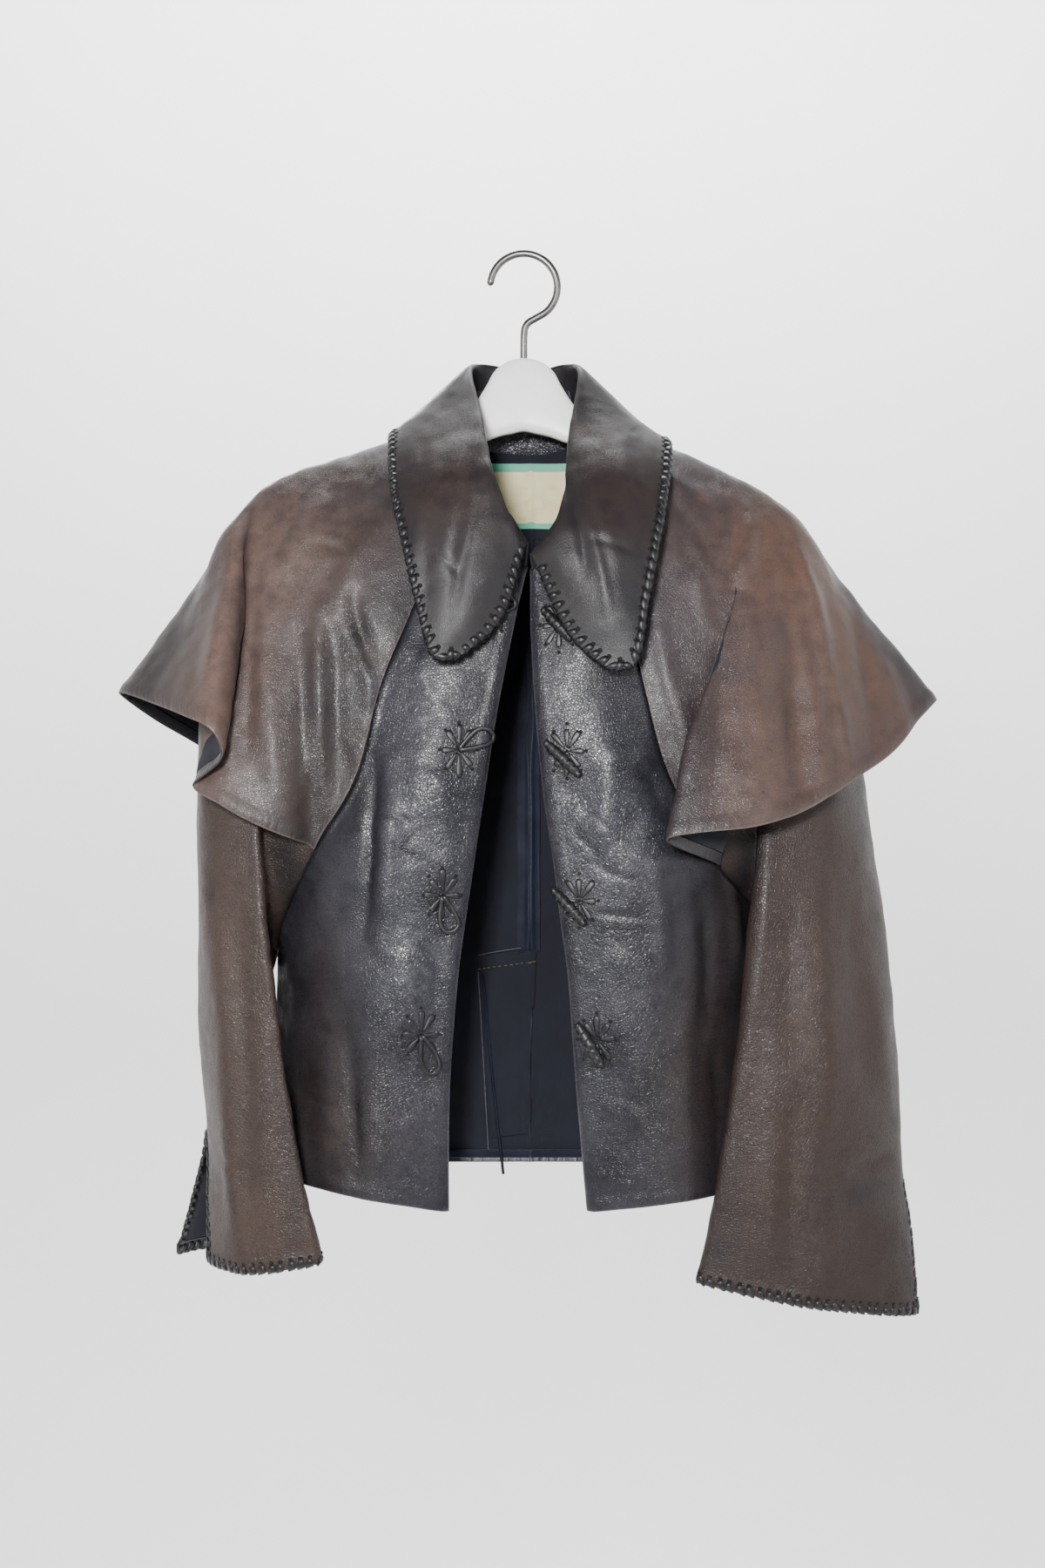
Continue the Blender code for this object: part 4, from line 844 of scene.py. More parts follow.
@dataclass
class Cape:
    """A shoulder cape: over the sleeve's top, then falling in folds to its free hem."""

    side: Side
    rows: int = 112
    columns: int = 210
    lift: tuple[float, float] = (2.0, 3.8)    # above the sleeve at the seams, and between them, in mm
    end_lift: float = 1.4                     # further lift where the seams end
    free: float = 0.12                        # share of the arch by each seam where it leaves the sleeve
    rounding: int = 34                        # smoothing passes over the shoulder
    fold_rounding: int = 6                    # and across the folds
    near: tuple[float, float] = (24.0, 60.0)  # it rests on the sleeve only this near to where it lay, in mm
    arch_weight: float = 420.0                # length that a whole arch counts for, in spacing the columns

    def _normals(self, sleeve: Loft, rows: Grid, places: Grid, step: float = 0.02) -> Grid:
        """Outward unit normals of the sleeve, from its slopes along the rows and across them."""
        down = (sleeve.points(np.minimum(rows + step, rows[-1]), places)
                - sleeve.points(np.maximum(rows - step, 0), places))
        over = (sleeve.points(rows, np.minimum(places + step, 1))
                - sleeve.points(rows, np.maximum(places - step, 0)))
        normal = unit(np.cross(over, down))
        return normal if normal[..., 2].mean() > 0 else -normal

    def _lift(self, rows: Grid, places: Grid) -> Grid:
        """How far the cape lies out from the sleeve at these rows and places."""
        edge, middle = self.lift
        share = np.clip(np.minimum(places, 1 - places) / 0.08, 0, 1)
        end = self.end_lift * (rows[:, None] / CAPE_END) ** 4
        return (edge + (middle - edge) * share[None, :] + end)[..., None]

    def panel(self) -> Panel:
        """Hem and shoulder arch joined by straight falls with a bow, resting on the sleeve."""
        sleeve = sleeve_loft(self.side)
        hem = np.array(CAPE_HEMS[self.side], float)
        arch = np.concatenate([[0], hem[:, 0], [1]])
        last, sides = np.array([float(CAPE_END)]), np.array([0.0, 1.0])
        at_end = np.array([CAPE_END - 0.01, CAPE_END])
        ends = sleeve.points(last, sides)[0] + (self._normals(sleeve, at_end, sides)[-1:]
                                                * self._lift(last, sides))[0]
        path = np.vstack([ends[0], hem[:, 1:4], ends[1]])
        bow = np.vstack([[0, 0], hem[:, 4:6], [0, 0]])
        reach = np.linalg.norm(np.diff(path, axis=0), axis=1) + self.arch_weight * np.diff(arch)
        knots = np.concatenate([[0.0], np.cumsum(reach) / reach.sum()])
        spots = np.linspace(0, 1, self.columns + 1)
        arch = np.interp(curve_through(arch, knots, spots), (0, 0.5, 1), (0, sleeve.across[RIDGE], 1))
        bow = curve_through(bow, knots, spots)
        places = np.linspace(0, CAPE_END, self.rows + 1)
        normal = self._normals(sleeve, places, arch)
        laid = sleeve.points(places, arch) + normal * self._lift(places, arch)
        shoulder = laid[np.searchsorted(places, SHOULDER)]
        fall = np.clip((places - SHOULDER) / (CAPE_END - SHOULDER), 0, 1)[:, None, None]
        hung = shoulder + (curve_through(path, knots, spots) - shoulder) * fall
        hung[..., :2] += bow * 4 * fall * (1 - fall)
        free = np.clip(np.minimum(arch, 1 - arch) / self.free, 0, 1)[None, :, None]
        free = free + (1 - free) * np.clip((fall - 0.75) / 0.25, 0, 1)
        hung = laid + (hung - laid) * free
        below = ((laid - hung) * normal).sum(-1, keepdims=True)
        aside = np.linalg.norm(hung - laid + normal * below, axis=-1, keepdims=True)
        near = smooth_step((self.near[1] - aside) / (self.near[1] - self.near[0]))
        hung = hung + normal * (below + np.sqrt(below ** 2 + 2.0)) / 2 * smooth_step(fall * 6) * near
        points = softened(np.where(fall > 0, hung, laid), self.rounding)
        points = softened(points.swapaxes(0, 1), self.fold_rounding).swapaxes(0, 1)
        points = let_out(points, ("top", "start", "end"))
        outward = points - sleeve.points(places, np.linspace(0, 1, 40)).mean(axis=1, keepdims=True)
        shown = smooth_step((sleeve.across[RIDGE] + 0.03 - arch) / 0.06)[None, :]
        return Panel(f"cape_{self.side.word}", points, outward, ("start", "end"), facing=shown,
                     seed=40 + self.side.value, undulation=0.9, seam_dip=0.5)


@dataclass
class Collar:
    """The shirt collar with long points, folded over along its roll line."""

    spacing: float = 2.2
    corner: float = 17.0         # radius of the rounded points

    def panel(self) -> Panel:
        """The collar's grid: rows from the neckline over the fold to the laced edge."""
        loft = collar_loft()
        self.rows, stations = loft.even_places(self.spacing)
        points = rounded(loft.points(self.rows, stations), self.corner)
        leaf = (self.rows > 1.3)[:, None, None]
        outward = (points - (0, 0, -150)) * (1, 1, 0) * leaf
        return Panel("collar", points, outward, ("top",), hem=None, seed=50, undulation=0.55, seam_dip=0.3)


def sweep(centres: Grid, side: Grid, up: Grid, half_width: Any, half_thick: Any, around: int = 6,
          square: float = 1.0) -> Shape:
    """Strands closed at both ends, of section centre + half_width cos(a) side + half_thick sin(a) up.

    Args:
        centres: strands x stations x 3.
        side: unit vectors across each strand, of the same shape.
        up: unit vectors through its thickness.
        half_width: per station, or per station and point of the section.
        half_thick: as half_width.
        around: even number of points round the section.
        square: below 1, the power that squares the section's corners.

    Returns:
        Vertices and quads.
    """
    strands, stations = centres.shape[:2]
    angle = (np.arange(around) + 0.5) * 2 * np.pi / around
    cosine, sine = (np.sign(wave) * abs(wave) ** square for wave in (np.cos(angle), np.sin(angle)))
    wide, thick = (np.broadcast_to(np.asarray(size, float).reshape(size.shape + (1,) * (3 - size.ndim))
                                   if isinstance(size, np.ndarray) else size, (strands, stations, around))
                   for size in (half_width, half_thick))
    ring = (centres[:, :, None] + (wide * cosine)[..., None] * side[:, :, None]
            + (thick * sine)[..., None] * up[:, :, None])
    index = np.arange(strands * stations * around).reshape(strands, stations, around)
    following = np.roll(index, -1, axis=2)
    walls = np.stack([index[:, :-1], following[:, :-1], following[:, 1:], index[:, 1:]], axis=-1)
    low = np.arange(around // 2 - 1)
    ends = [np.stack([end[:, low], end[:, low + 1], end[:, around - 2 - low], end[:, around - 1 - low]],
                     axis=-1) for end in (index[:, 0], index[:, -1, ::-1])]
    return ring.reshape(-1, 3), np.concatenate([part.reshape(-1, 4) for part in (walls, *ends)])


def joined(shapes: Sequence[Shape]) -> Shape:
    """Vertices and faces of several shapes as one."""
    starts = np.cumsum([0] + [len(points) for points, _ in shapes[:-1]])
    return (np.concatenate([points for points, _ in shapes]),
            np.concatenate([faces + start for (_, faces), start in zip(shapes, starts)]))


def solid(name: str, shape: Shape, material: Material, slot: str, node: str = "") -> Piece:
    """A closed piece whose faces are turned to point outwards, riding on the body."""
    piece = new_mesh(name, *shape, (material,))
    work = bmesh.new()
    work.from_mesh(piece.data)
    bmesh.ops.recalc_face_normals(work, faces=work.faces)
    work.to_mesh(piece.data)
    work.free()
    return ride(piece, node)


def frames_along(centres: Grid, normal: Grid) -> tuple[Grid, Grid]:
    """Side and up vectors of strands: side = normal x tangent, up = tangent x side."""
    tangent = unit(np.gradient(centres, axis=1))
    side = unit(np.cross(normal, tangent))
    return side, unit(np.cross(tangent, side))


@dataclass
class Border:
    """An edge of leather to be laced: its points, the way in from it, and the outward normal."""

    points: Grid
    inward: Grid
    normal: Grid

    @classmethod
    def of(cls, grid: Grid, normal: Grid, edge: str, cut: slice = slice(None), inset: int = 3) -> "Border":
        """The named border of a grid, its inward way read a few cells in."""
        turned = {"bottom": (grid[::-1], normal[::-1]), "start": (grid.swapaxes(0, 1), normal.swapaxes(0, 1)),
                  "end": (grid[:, ::-1].swapaxes(0, 1), normal[:, ::-1].swapaxes(0, 1))}
        points, outward = turned[edge]
        return cls(points[0][cut], unit(points[inset] - points[0])[cut], outward[1][cut])

    def joined_to(self, *others: "Border") -> "Border":
        """This border followed by others."""
        every = (self, *others)
        return Border(*(np.concatenate([getattr(one, name) for one in every])
                        for name in ("points", "inward", "normal")))

    def reversed(self) -> "Border":
        """The border walked the other way."""
        return Border(self.points[::-1], self.inward[::-1], self.normal[::-1])

    def every(self, pitch: float, blend: int = 9) -> tuple["Border", Grid]:
        """Places about a pitch apart, with vectors eased over corners, and the tangents there."""
        length = np.concatenate([[0], np.linalg.norm(np.diff(self.points, axis=0), axis=-1).cumsum()])
        fine = np.arange(0, length[-1], 1.0)
        read = [np.stack([np.interp(fine, length, values[:, k]) for k in range(3)], axis=-1)
                for values in (self.points, self.inward, self.normal)]
        kernel = np.ones(blend) / blend
        eased = [np.stack([np.convolve(np.pad(values[:, k], blend // 2, "edge"), kernel, "valid")
                           for k in range(3)], axis=-1) for values in read[1:]]
        count = max(1, round(length[-1] / pitch))
        pick = ((np.arange(count) + 0.5) * len(fine) / count).astype(int)
        tangent = np.gradient(read[0], axis=0)
        return Border(read[0][pick], unit(eased[0][pick]), unit(eased[1][pick])), unit(tangent[pick])


@dataclass
class WhipLacing:
    """Flat lace whipped over an edge through a row of holes."""

    pitch: float = 7.7
    reach: float = 6.6           # holes stand this far in from the edge
    half_width: float = 3.35
    half_thick: float = 0.55
    slant: float = 4.2           # from a turn's hole to the next one behind
    clear: float = 0.35          # between the lace and the leather
    sink: float = 1.5            # how far its ends go into their holes
    spread: Row = (0.07, 0.15, 0.35, 0.06)   # random share of reach, slant, place in mm, share of width
    wall: float = LEATHER / 2
    seed: int = 5

    def build(self, border: Border) -> Shape:
        """Each turn runs from its hole over the edge and back to the next hole behind, widest on the edge."""
        border, tangent = border.every(self.pitch)
        random = np.random.default_rng(self.seed)
        count = len(border.points)
        reach_by, slant_by, place_by, width_by = (random.normal(0, 1, (count, 4)) * self.spread).T[..., None]
        t = np.linspace(-1, 1, 9)
        reach = self.reach * (1 + reach_by)
        inwards = reach * abs(t) ** 1.1 - 1.2 * (1 - t ** 2) ** 2
        face = -np.sign(t)       # 1 over the outer face, -1 behind the inner one
        height = (self.wall + self.half_thick + self.clear) * face * np.minimum(1, abs(t) * 2.6)
        height = height - face * self.sink * smooth_step((abs(t) - 0.84) / 0.16)
        along = self.slant * t / 2 * (1 + slant_by) + place_by
        way_in, out = border.inward[:, None], border.normal[:, None]
        centres = (border.points[:, None] + way_in * inwards[..., None] + out * height[:, None]
                   + tangent[:, None] * along[..., None])
        step = unit(np.gradient(centres, axis=1))
        side = unit(tangent[:, None] - (tangent[:, None] * step).sum(-1, keepdims=True) * step)
        up = unit(np.cross(step, side))
        width = self.half_width * (1 + width_by) * (1 - 0.42 * abs(t) ** 3.5)
        return sweep(centres, side, up, width, self.half_thick)

    def holes(self, border: Border) -> Shape:
        """Painted shade of the round holes where the lace goes in: near-black thin discs let into the outer
        face.
        """
        border, tangent = border.every(self.pitch)
        depth = np.array(HOLE_DEPTH)
        spot = border.points + border.inward * (self.reach + 0.9) - tangent * self.slant / 2
        centres = spot[:, None] + border.normal[:, None] * (self.wall + depth)[None, :, None]
        shape = centres.shape
        side = np.broadcast_to(unit(border.inward)[:, None], shape)
        up = np.broadcast_to(unit(np.cross(border.normal, border.inward))[:, None], shape)
        return sweep(centres, side, up, 1.7, 1.9, around=8)


@dataclass
class Closures:
    """Four pairs of lace rosettes: loops hang from the right ones, rolled toggles from the left ones."""

    petals: int = 8
    radii: tuple[float, float] = (13.2, 19.2)
    petal_half_width: float = 2.4
    petal_thick: float = 0.42
    arch: float = 0.35
    spread: Row = (0.05, 0.06, 0.08)               # random share of a petal's turn, reach and width
    loop_half: tuple[float, float] = (1.75, 1.0)   # half width and half thickness of a loop's strand
    petal_sink: float = 1.5      # how far the ends go into their holes
    loop_sink: float = 3.4
    loop_neck: float = 1.612     # how far the strands lie aside at the flower
    loop_swell: float = 1.3      # brings the teardrop's widest place out to the loop's width
    toggle_diameter: float = 8.6
    toggle_tip: float = 0.5      # radius at its ends, as a share
    toggle_turns: float = 3.2    # turns of lace on each half
    toggle_step: tuple[float, float] = (1.08, 0.26)   # share of the radius where a turn starts, and its fall
    above_flower: float = 1.6

    def rosette(self, surface: Surface, centre: tuple[float, float], seed: int) -> Shape:
        """Petals of flat lace from the middle hole to an ellipse of holes, widening, blunt and arched."""
        random = np.random.default_rng(seed)
        turn_by, reach_by, width_by = self.spread
        t = np.linspace(0, 1, 11)
        turn = (np.arange(self.petals) * 2 * np.pi / self.petals + random.normal(0, turn_by, self.petals)
                + np.pi / 2)
        reach = (0.10 + 0.90 * t)[None] * (1 + random.normal(0, reach_by, (self.petals, 1)))
        x = centre[0] + self.radii[0] * reach * np.cos(turn)[:, None]
        z = centre[1] + self.radii[1] * reach * np.sin(turn)[:, None]
        lift = (LEATHER / 2 + self.petal_thick + self.arch * np.sin(np.pi * t) ** 0.8
                - self.petal_sink * smooth_step((abs(2 * t - 1) - 0.86) / 0.14))
        centres, normal = surface.at(x, z, np.broadcast_to(lift, x.shape))
        side, up = frames_along(centres, normal)
        blunt = np.sqrt(np.clip(1 - ((t - 0.8) / 0.2) ** 2 * (t > 0.8), 0.12, 1))
        width = self.petal_half_width * (0.34 + 0.66 * smooth_step(t / 0.7)) * blunt * (
            1 + random.normal(0, width_by, (self.petals, 1)))
        return sweep(centres, side, up, width, self.petal_thick, around=8)

    def eyelets(self, surface: Surface, centre: tuple[float, float]) -> Shape:
        """Painted shade of the holes at the petals' ends and in the rosette's middle: near-black discs."""
        turn = np.arange(self.petals) * 2 * np.pi / self.petals + np.pi / 2
        reach = np.append(np.full(self.petals, 1.05), 0.0)
        turn = np.append(turn, 0.0)
        x = centre[0] + self.radii[0] * reach * np.cos(turn)
        z = centre[1] + self.radii[1] * reach * np.sin(turn)
        rings = [surface.at(x, z, LEATHER / 2 + depth) for depth in HOLE_DEPTH]
        centres = np.stack([ring[0] for ring in rings], axis=1)
        normal = rings[0][1]
        side = unit(np.cross(normal, (0, 0, 1.0)))[:, None] + np.zeros_like(centres)
        return sweep(centres, side, np.cross(normal[:, None], side), 1.45, 1.45, around=8)

    def loop(self, surface: Surface, start: tuple[float, float], end: tuple[float, float],
             width: float) -> Shape:
        """A teardrop: (1 - cos a) / 2 of the length along, and (neck + swell sin^2(a / 2)) sin a aside."""
        start, end = np.array(start, float), np.array(end, float)
        way = end - start
        length = np.linalg.norm(way)
        way, aside = way / length, np.array([-way[1], way[0]]) / length
        angle = np.linspace(0.06, 2 * np.pi - 0.06, 41)
        swell = self.loop_neck + self.loop_swell * width / 2 * np.sin(angle / 2) ** 2
        along = length * (1 - np.cos(angle)) / 2
        spot = start + way * along[:, None] + aside * (swell * np.sin(angle))[:, None]
        ends = smooth_step((abs(angle - np.pi) - 2.7) / 0.4)
        lift = self.above_flower + self.loop_half[1] + 0.5 - self.loop_sink * ends
        centres, normal = surface.at(spot[:, 0], spot[:, 1], lift)
        side, up = frames_along(centres[None], normal[None])
        return sweep(centres[None], side, up, *self.loop_half, around=8)

    def toggle(self, surface: Surface, ends: Any) -> Shape:
        """A lace rolled on the slant: a spindle whose radius steps along a spiral of turns."""
        (x0, z0), (x1, z1) = ends
        t = np.linspace(0, 1, 57)
        lift = self.above_flower + self.toggle_diameter / 2 - 0.3
        centres, normal = surface.at(x0 + (x1 - x0) * t, z0 + (z1 - z0) * t, lift)
        chord = centres[:1] + (centres[-1:] - centres[:1]) * t[:, None]
        side, up = frames_along(chord[None], np.broadcast_to(normal.mean(axis=0), chord.shape)[None])
        around = 20
        angle = (np.arange(around) + 0.5) * 2 * np.pi / around
        turns = (self.toggle_turns * abs(2 * t - 1)[:, None] + angle[None, :] / (2 * np.pi)) % 1.0
        spindle = self.toggle_tip + (1 - self.toggle_tip) * np.sin(np.pi * t) ** 0.65
        widest, fall = self.toggle_step
        radius = self.toggle_diameter / 2 * spindle[:, None] * (widest - fall * turns)
        return sweep(chord[None], side, up, radius[None], radius[None], around=around)


@dataclass
class Hanger:
    """A moulded plastic hanger with a domed head, and its steel hook."""

    half_thick: float = 6.0
    head_radius: float = 30.0
    hook_drop: float = 79.0
    arm_height: float = 26.0
    deeper: float = 6.0          # how much deeper the arms are at the neck
    reach: float = 0.955         # share of the way to the shoulder tip
    under_ridge: float = 4.0
    wire: float = 5.8
    wire_tip: float = 2.7        # length of the wire's rounded end
    hook_radius: float = 26.2
    hook_arc: tuple[float, float] = (172, -52)   # degrees from +x
    shank: tuple[tuple[float, float], ...] = ((9.0, 24.5), (4.0, 27.5), (1.2, 31.0), (0.3, 36.0), (0.0, 44.0))
    neck: tuple[tuple[float, float], ...] = ((50, 20), (40, 8))      # x, depth below the head's centre
    belly: tuple[tuple[float, float], ...] = ((-46, -150), (-20, -140), (0, -136), (20, -140), (46, -150))

    def _arm(self, table: dict[str, Any]) -> Grid:
        """Top keys of one arm, from its tip inwards: the tip's round end, then below the sleeve's ridge."""
        line = np.array(table["ridge"][:SHOULDER + 1], float)
        top = curve_through(line, knots_of(line, 1.0), np.linspace(0, self.reach, 9))[::-1, [0, 2]]
        top = top - (0, self.under_ridge)
        radius = self.arm_height / 2
        tip = top[0] + [(math.copysign(0.3 * radius, top[0, 0]) * math.cos(a), -radius + radius * math.sin(a))
                        for a in (0.12, 0.5, 0.95)]
        return np.concatenate([tip, top])

    def body(self) -> Shape:
        """Sections between the upper and the lower outline, carried from tip to tip."""
        right, left = self._arm(SLEEVE_LINES[Side.RIGHT]), self._arm(SLEEVE_LINES[Side.LEFT])
        centre = -self.hook_drop - self.head_radius
        angles = np.radians(np.linspace(160, 20, 9))
        head = np.stack([self.head_radius * np.cos(angles),
                         centre + self.head_radius * np.sin(angles)], axis=-1)
        neck = np.array([(-x, centre - depth) for x, depth in self.neck])
        top = np.concatenate([right, neck, head, neck[::-1] * (-1, 1), left[::-1]])
        radius = self.arm_height / 2
        low = np.empty(len(top))
        for rows, arm in ((slice(0, len(right)), right), (slice(len(top) - len(left), None), left[::-1])):
            x, z = top[rows].T
            reach = abs(arm[:, 0]).max()
            low[rows] = z - self.arm_height - self.deeper * (1 - abs(x) / reach)
        for rows, beside in (([0, 1, 2], 3), ([-1, -2, -3], -4)):
            low[rows] = 2 * (top[beside, 1] - radius) - top[rows, 1]
        inner = slice(len(right), len(top) - len(left))
        belly = np.array([(top[len(right) - 1, 0], low[len(right) - 1]), *self.belly,
                          (top[-len(left), 0], low[-len(left)])])
        low[inner] = np.interp(top[inner, 0], belly[:, 0], belly[:, 1])
        keys = np.column_stack([top[:, 0], top[:, 1], low])
        knots = knots_of(np.column_stack([top, top[:, :1] * 0]), 1.0)
        fine = curve_through(keys, knots, np.linspace(0, 1, 240))
        centres = np.column_stack([fine[:, 0], fine[:, 0] * 0, (fine[:, 1] + fine[:, 2]) / 2])[None]
        side = np.broadcast_to([0.0, 1.0, 0.0], centres.shape)
        up = np.broadcast_to([0.0, 0.0, 1.0], centres.shape)
        height = (fine[:, 1] - fine[:, 2])[None] / 2
        thick = self.half_thick * np.clip(height / 9, 0.45, 1)
        return sweep(centres, side, up, thick, height, around=28, square=0.42)

    def hook(self) -> Shape:
        """The wire's arc, sloping shank and stem, rounded off at the tip."""
        middle = -(self.hook_radius - self.wire / 2)
        angles = np.radians(np.linspace(*self.hook_arc, 60))
        arc = np.stack([self.hook_radius * np.cos(angles), angles * 0,
                        middle + self.hook_radius * np.sin(angles)], axis=-1)
        shank = np.array([(x, 0, middle - depth) for x, depth in self.shank] + [(0, 0, -self.hook_drop - 3)])
        tip = arc[:1] - unit(arc[1] - arc[0]) * self.wire_tip
        keys = np.concatenate([tip, arc[::3], shank])
        path = curve_through(keys, knots_of(keys, 1.0), np.linspace(0, 1, 110))
        gone = np.concatenate([[0.12], np.linalg.norm(np.diff(path, axis=0), axis=-1).cumsum()])
        share = np.clip(gone / self.wire_tip, 0, 1)
        radius = self.wire / 2 * np.sqrt(np.clip(1 - (1 - share) ** 2, 0.02, 1))
        centres = path[None]
        side = np.broadcast_to([0.0, 1.0, 0.0], centres.shape)
        up = unit(np.cross(np.gradient(path, axis=0), (0.0, 1.0, 0.0)))[None]
        return sweep(centres, side, up, radius[None], radius[None], around=20)


def linear(code: str) -> tuple[float, float, float, float]:
    """An sRGB hex colour in linear light, with full alpha."""
    parts = (int(code[k:k + 2], 16) / 255 for k in (1, 3, 5))
    return (*(c / 12.92 if c <= 0.04045 else ((c + 0.055) / 1.055) ** 2.4 for c in parts), 1.0)


def per(millimetres: float) -> float:
    """A pattern's scale for features of this size, in metres."""
    return 1 / (millimetres * MM)


def link(tree: bpy.types.NodeTree, source: Any, target: bpy.types.NodeSocket) -> None:
    """Links a socket, or a node's first output in use, to the target."""
    if isinstance(source, bpy.types.Node):
        source = next(output for output in source.outputs if output.enabled)
    tree.links.new(source, target)


def add(tree: bpy.types.NodeTree, kind: str, *values: Any, **named: Any) -> bpy.types.Node:
    """Adds a shader node.

    Args:
        tree: the material's or world's nodes.
        kind: the node's type, without its prefix.
        values: for its inputs in order; a node or socket is linked.
        named: its own settings in lower case, or inputs by name with _ for a space.

    Returns:
        The node.
    """
    node = tree.nodes.new("ShaderNode" + kind)
    for key, value in named.items():
        if key[0].islower():
            setattr(node, key, value)
    wanted = list(zip([socket for socket in node.inputs if socket.enabled], values))
    wanted += [(node.inputs[key.replace("_", " ")], value) for key, value in named.items()
               if key[0].isupper()]
    for socket, value in wanted:
        if isinstance(value, (bpy.types.Node, bpy.types.NodeSocket)):
            link(tree, value, socket)
        else:
            socket.default_value = value
    return node


@dataclass(frozen=True)
class Finish:
    """What every finish has: a name, and a ground colour and roughness on a principled shader."""

    name: str
    base: str
    roughness: float = 0.5

    def material(self) -> Material:
        """The material: constants on the shader's own sockets, then what varies over the surface."""
        material = bpy.data.materials.new(self.name)
        material.use_nodes = True
        tree = material.node_tree
        shader = tree.nodes["Principled BSDF"]
        constants = {"Base Color": linear(self.base), "Roughness": self.roughness, **self.constants()}
        for name, value in constants.items():
            shader.inputs[name].default_value = value
        for name, source in self.surface(partial(add, tree)).items():
            link(tree, source, shader.inputs[name])
        return material

    def constants(self) -> dict[str, float]:
        """What is the same all over the surface, by the shader's socket."""
        return {}

    def surface(self, node: Callable[..., Any]) -> dict[str, Any]:
        """What varies, by the shader's socket, made with the given way to add a node."""
        raise NotImplementedError


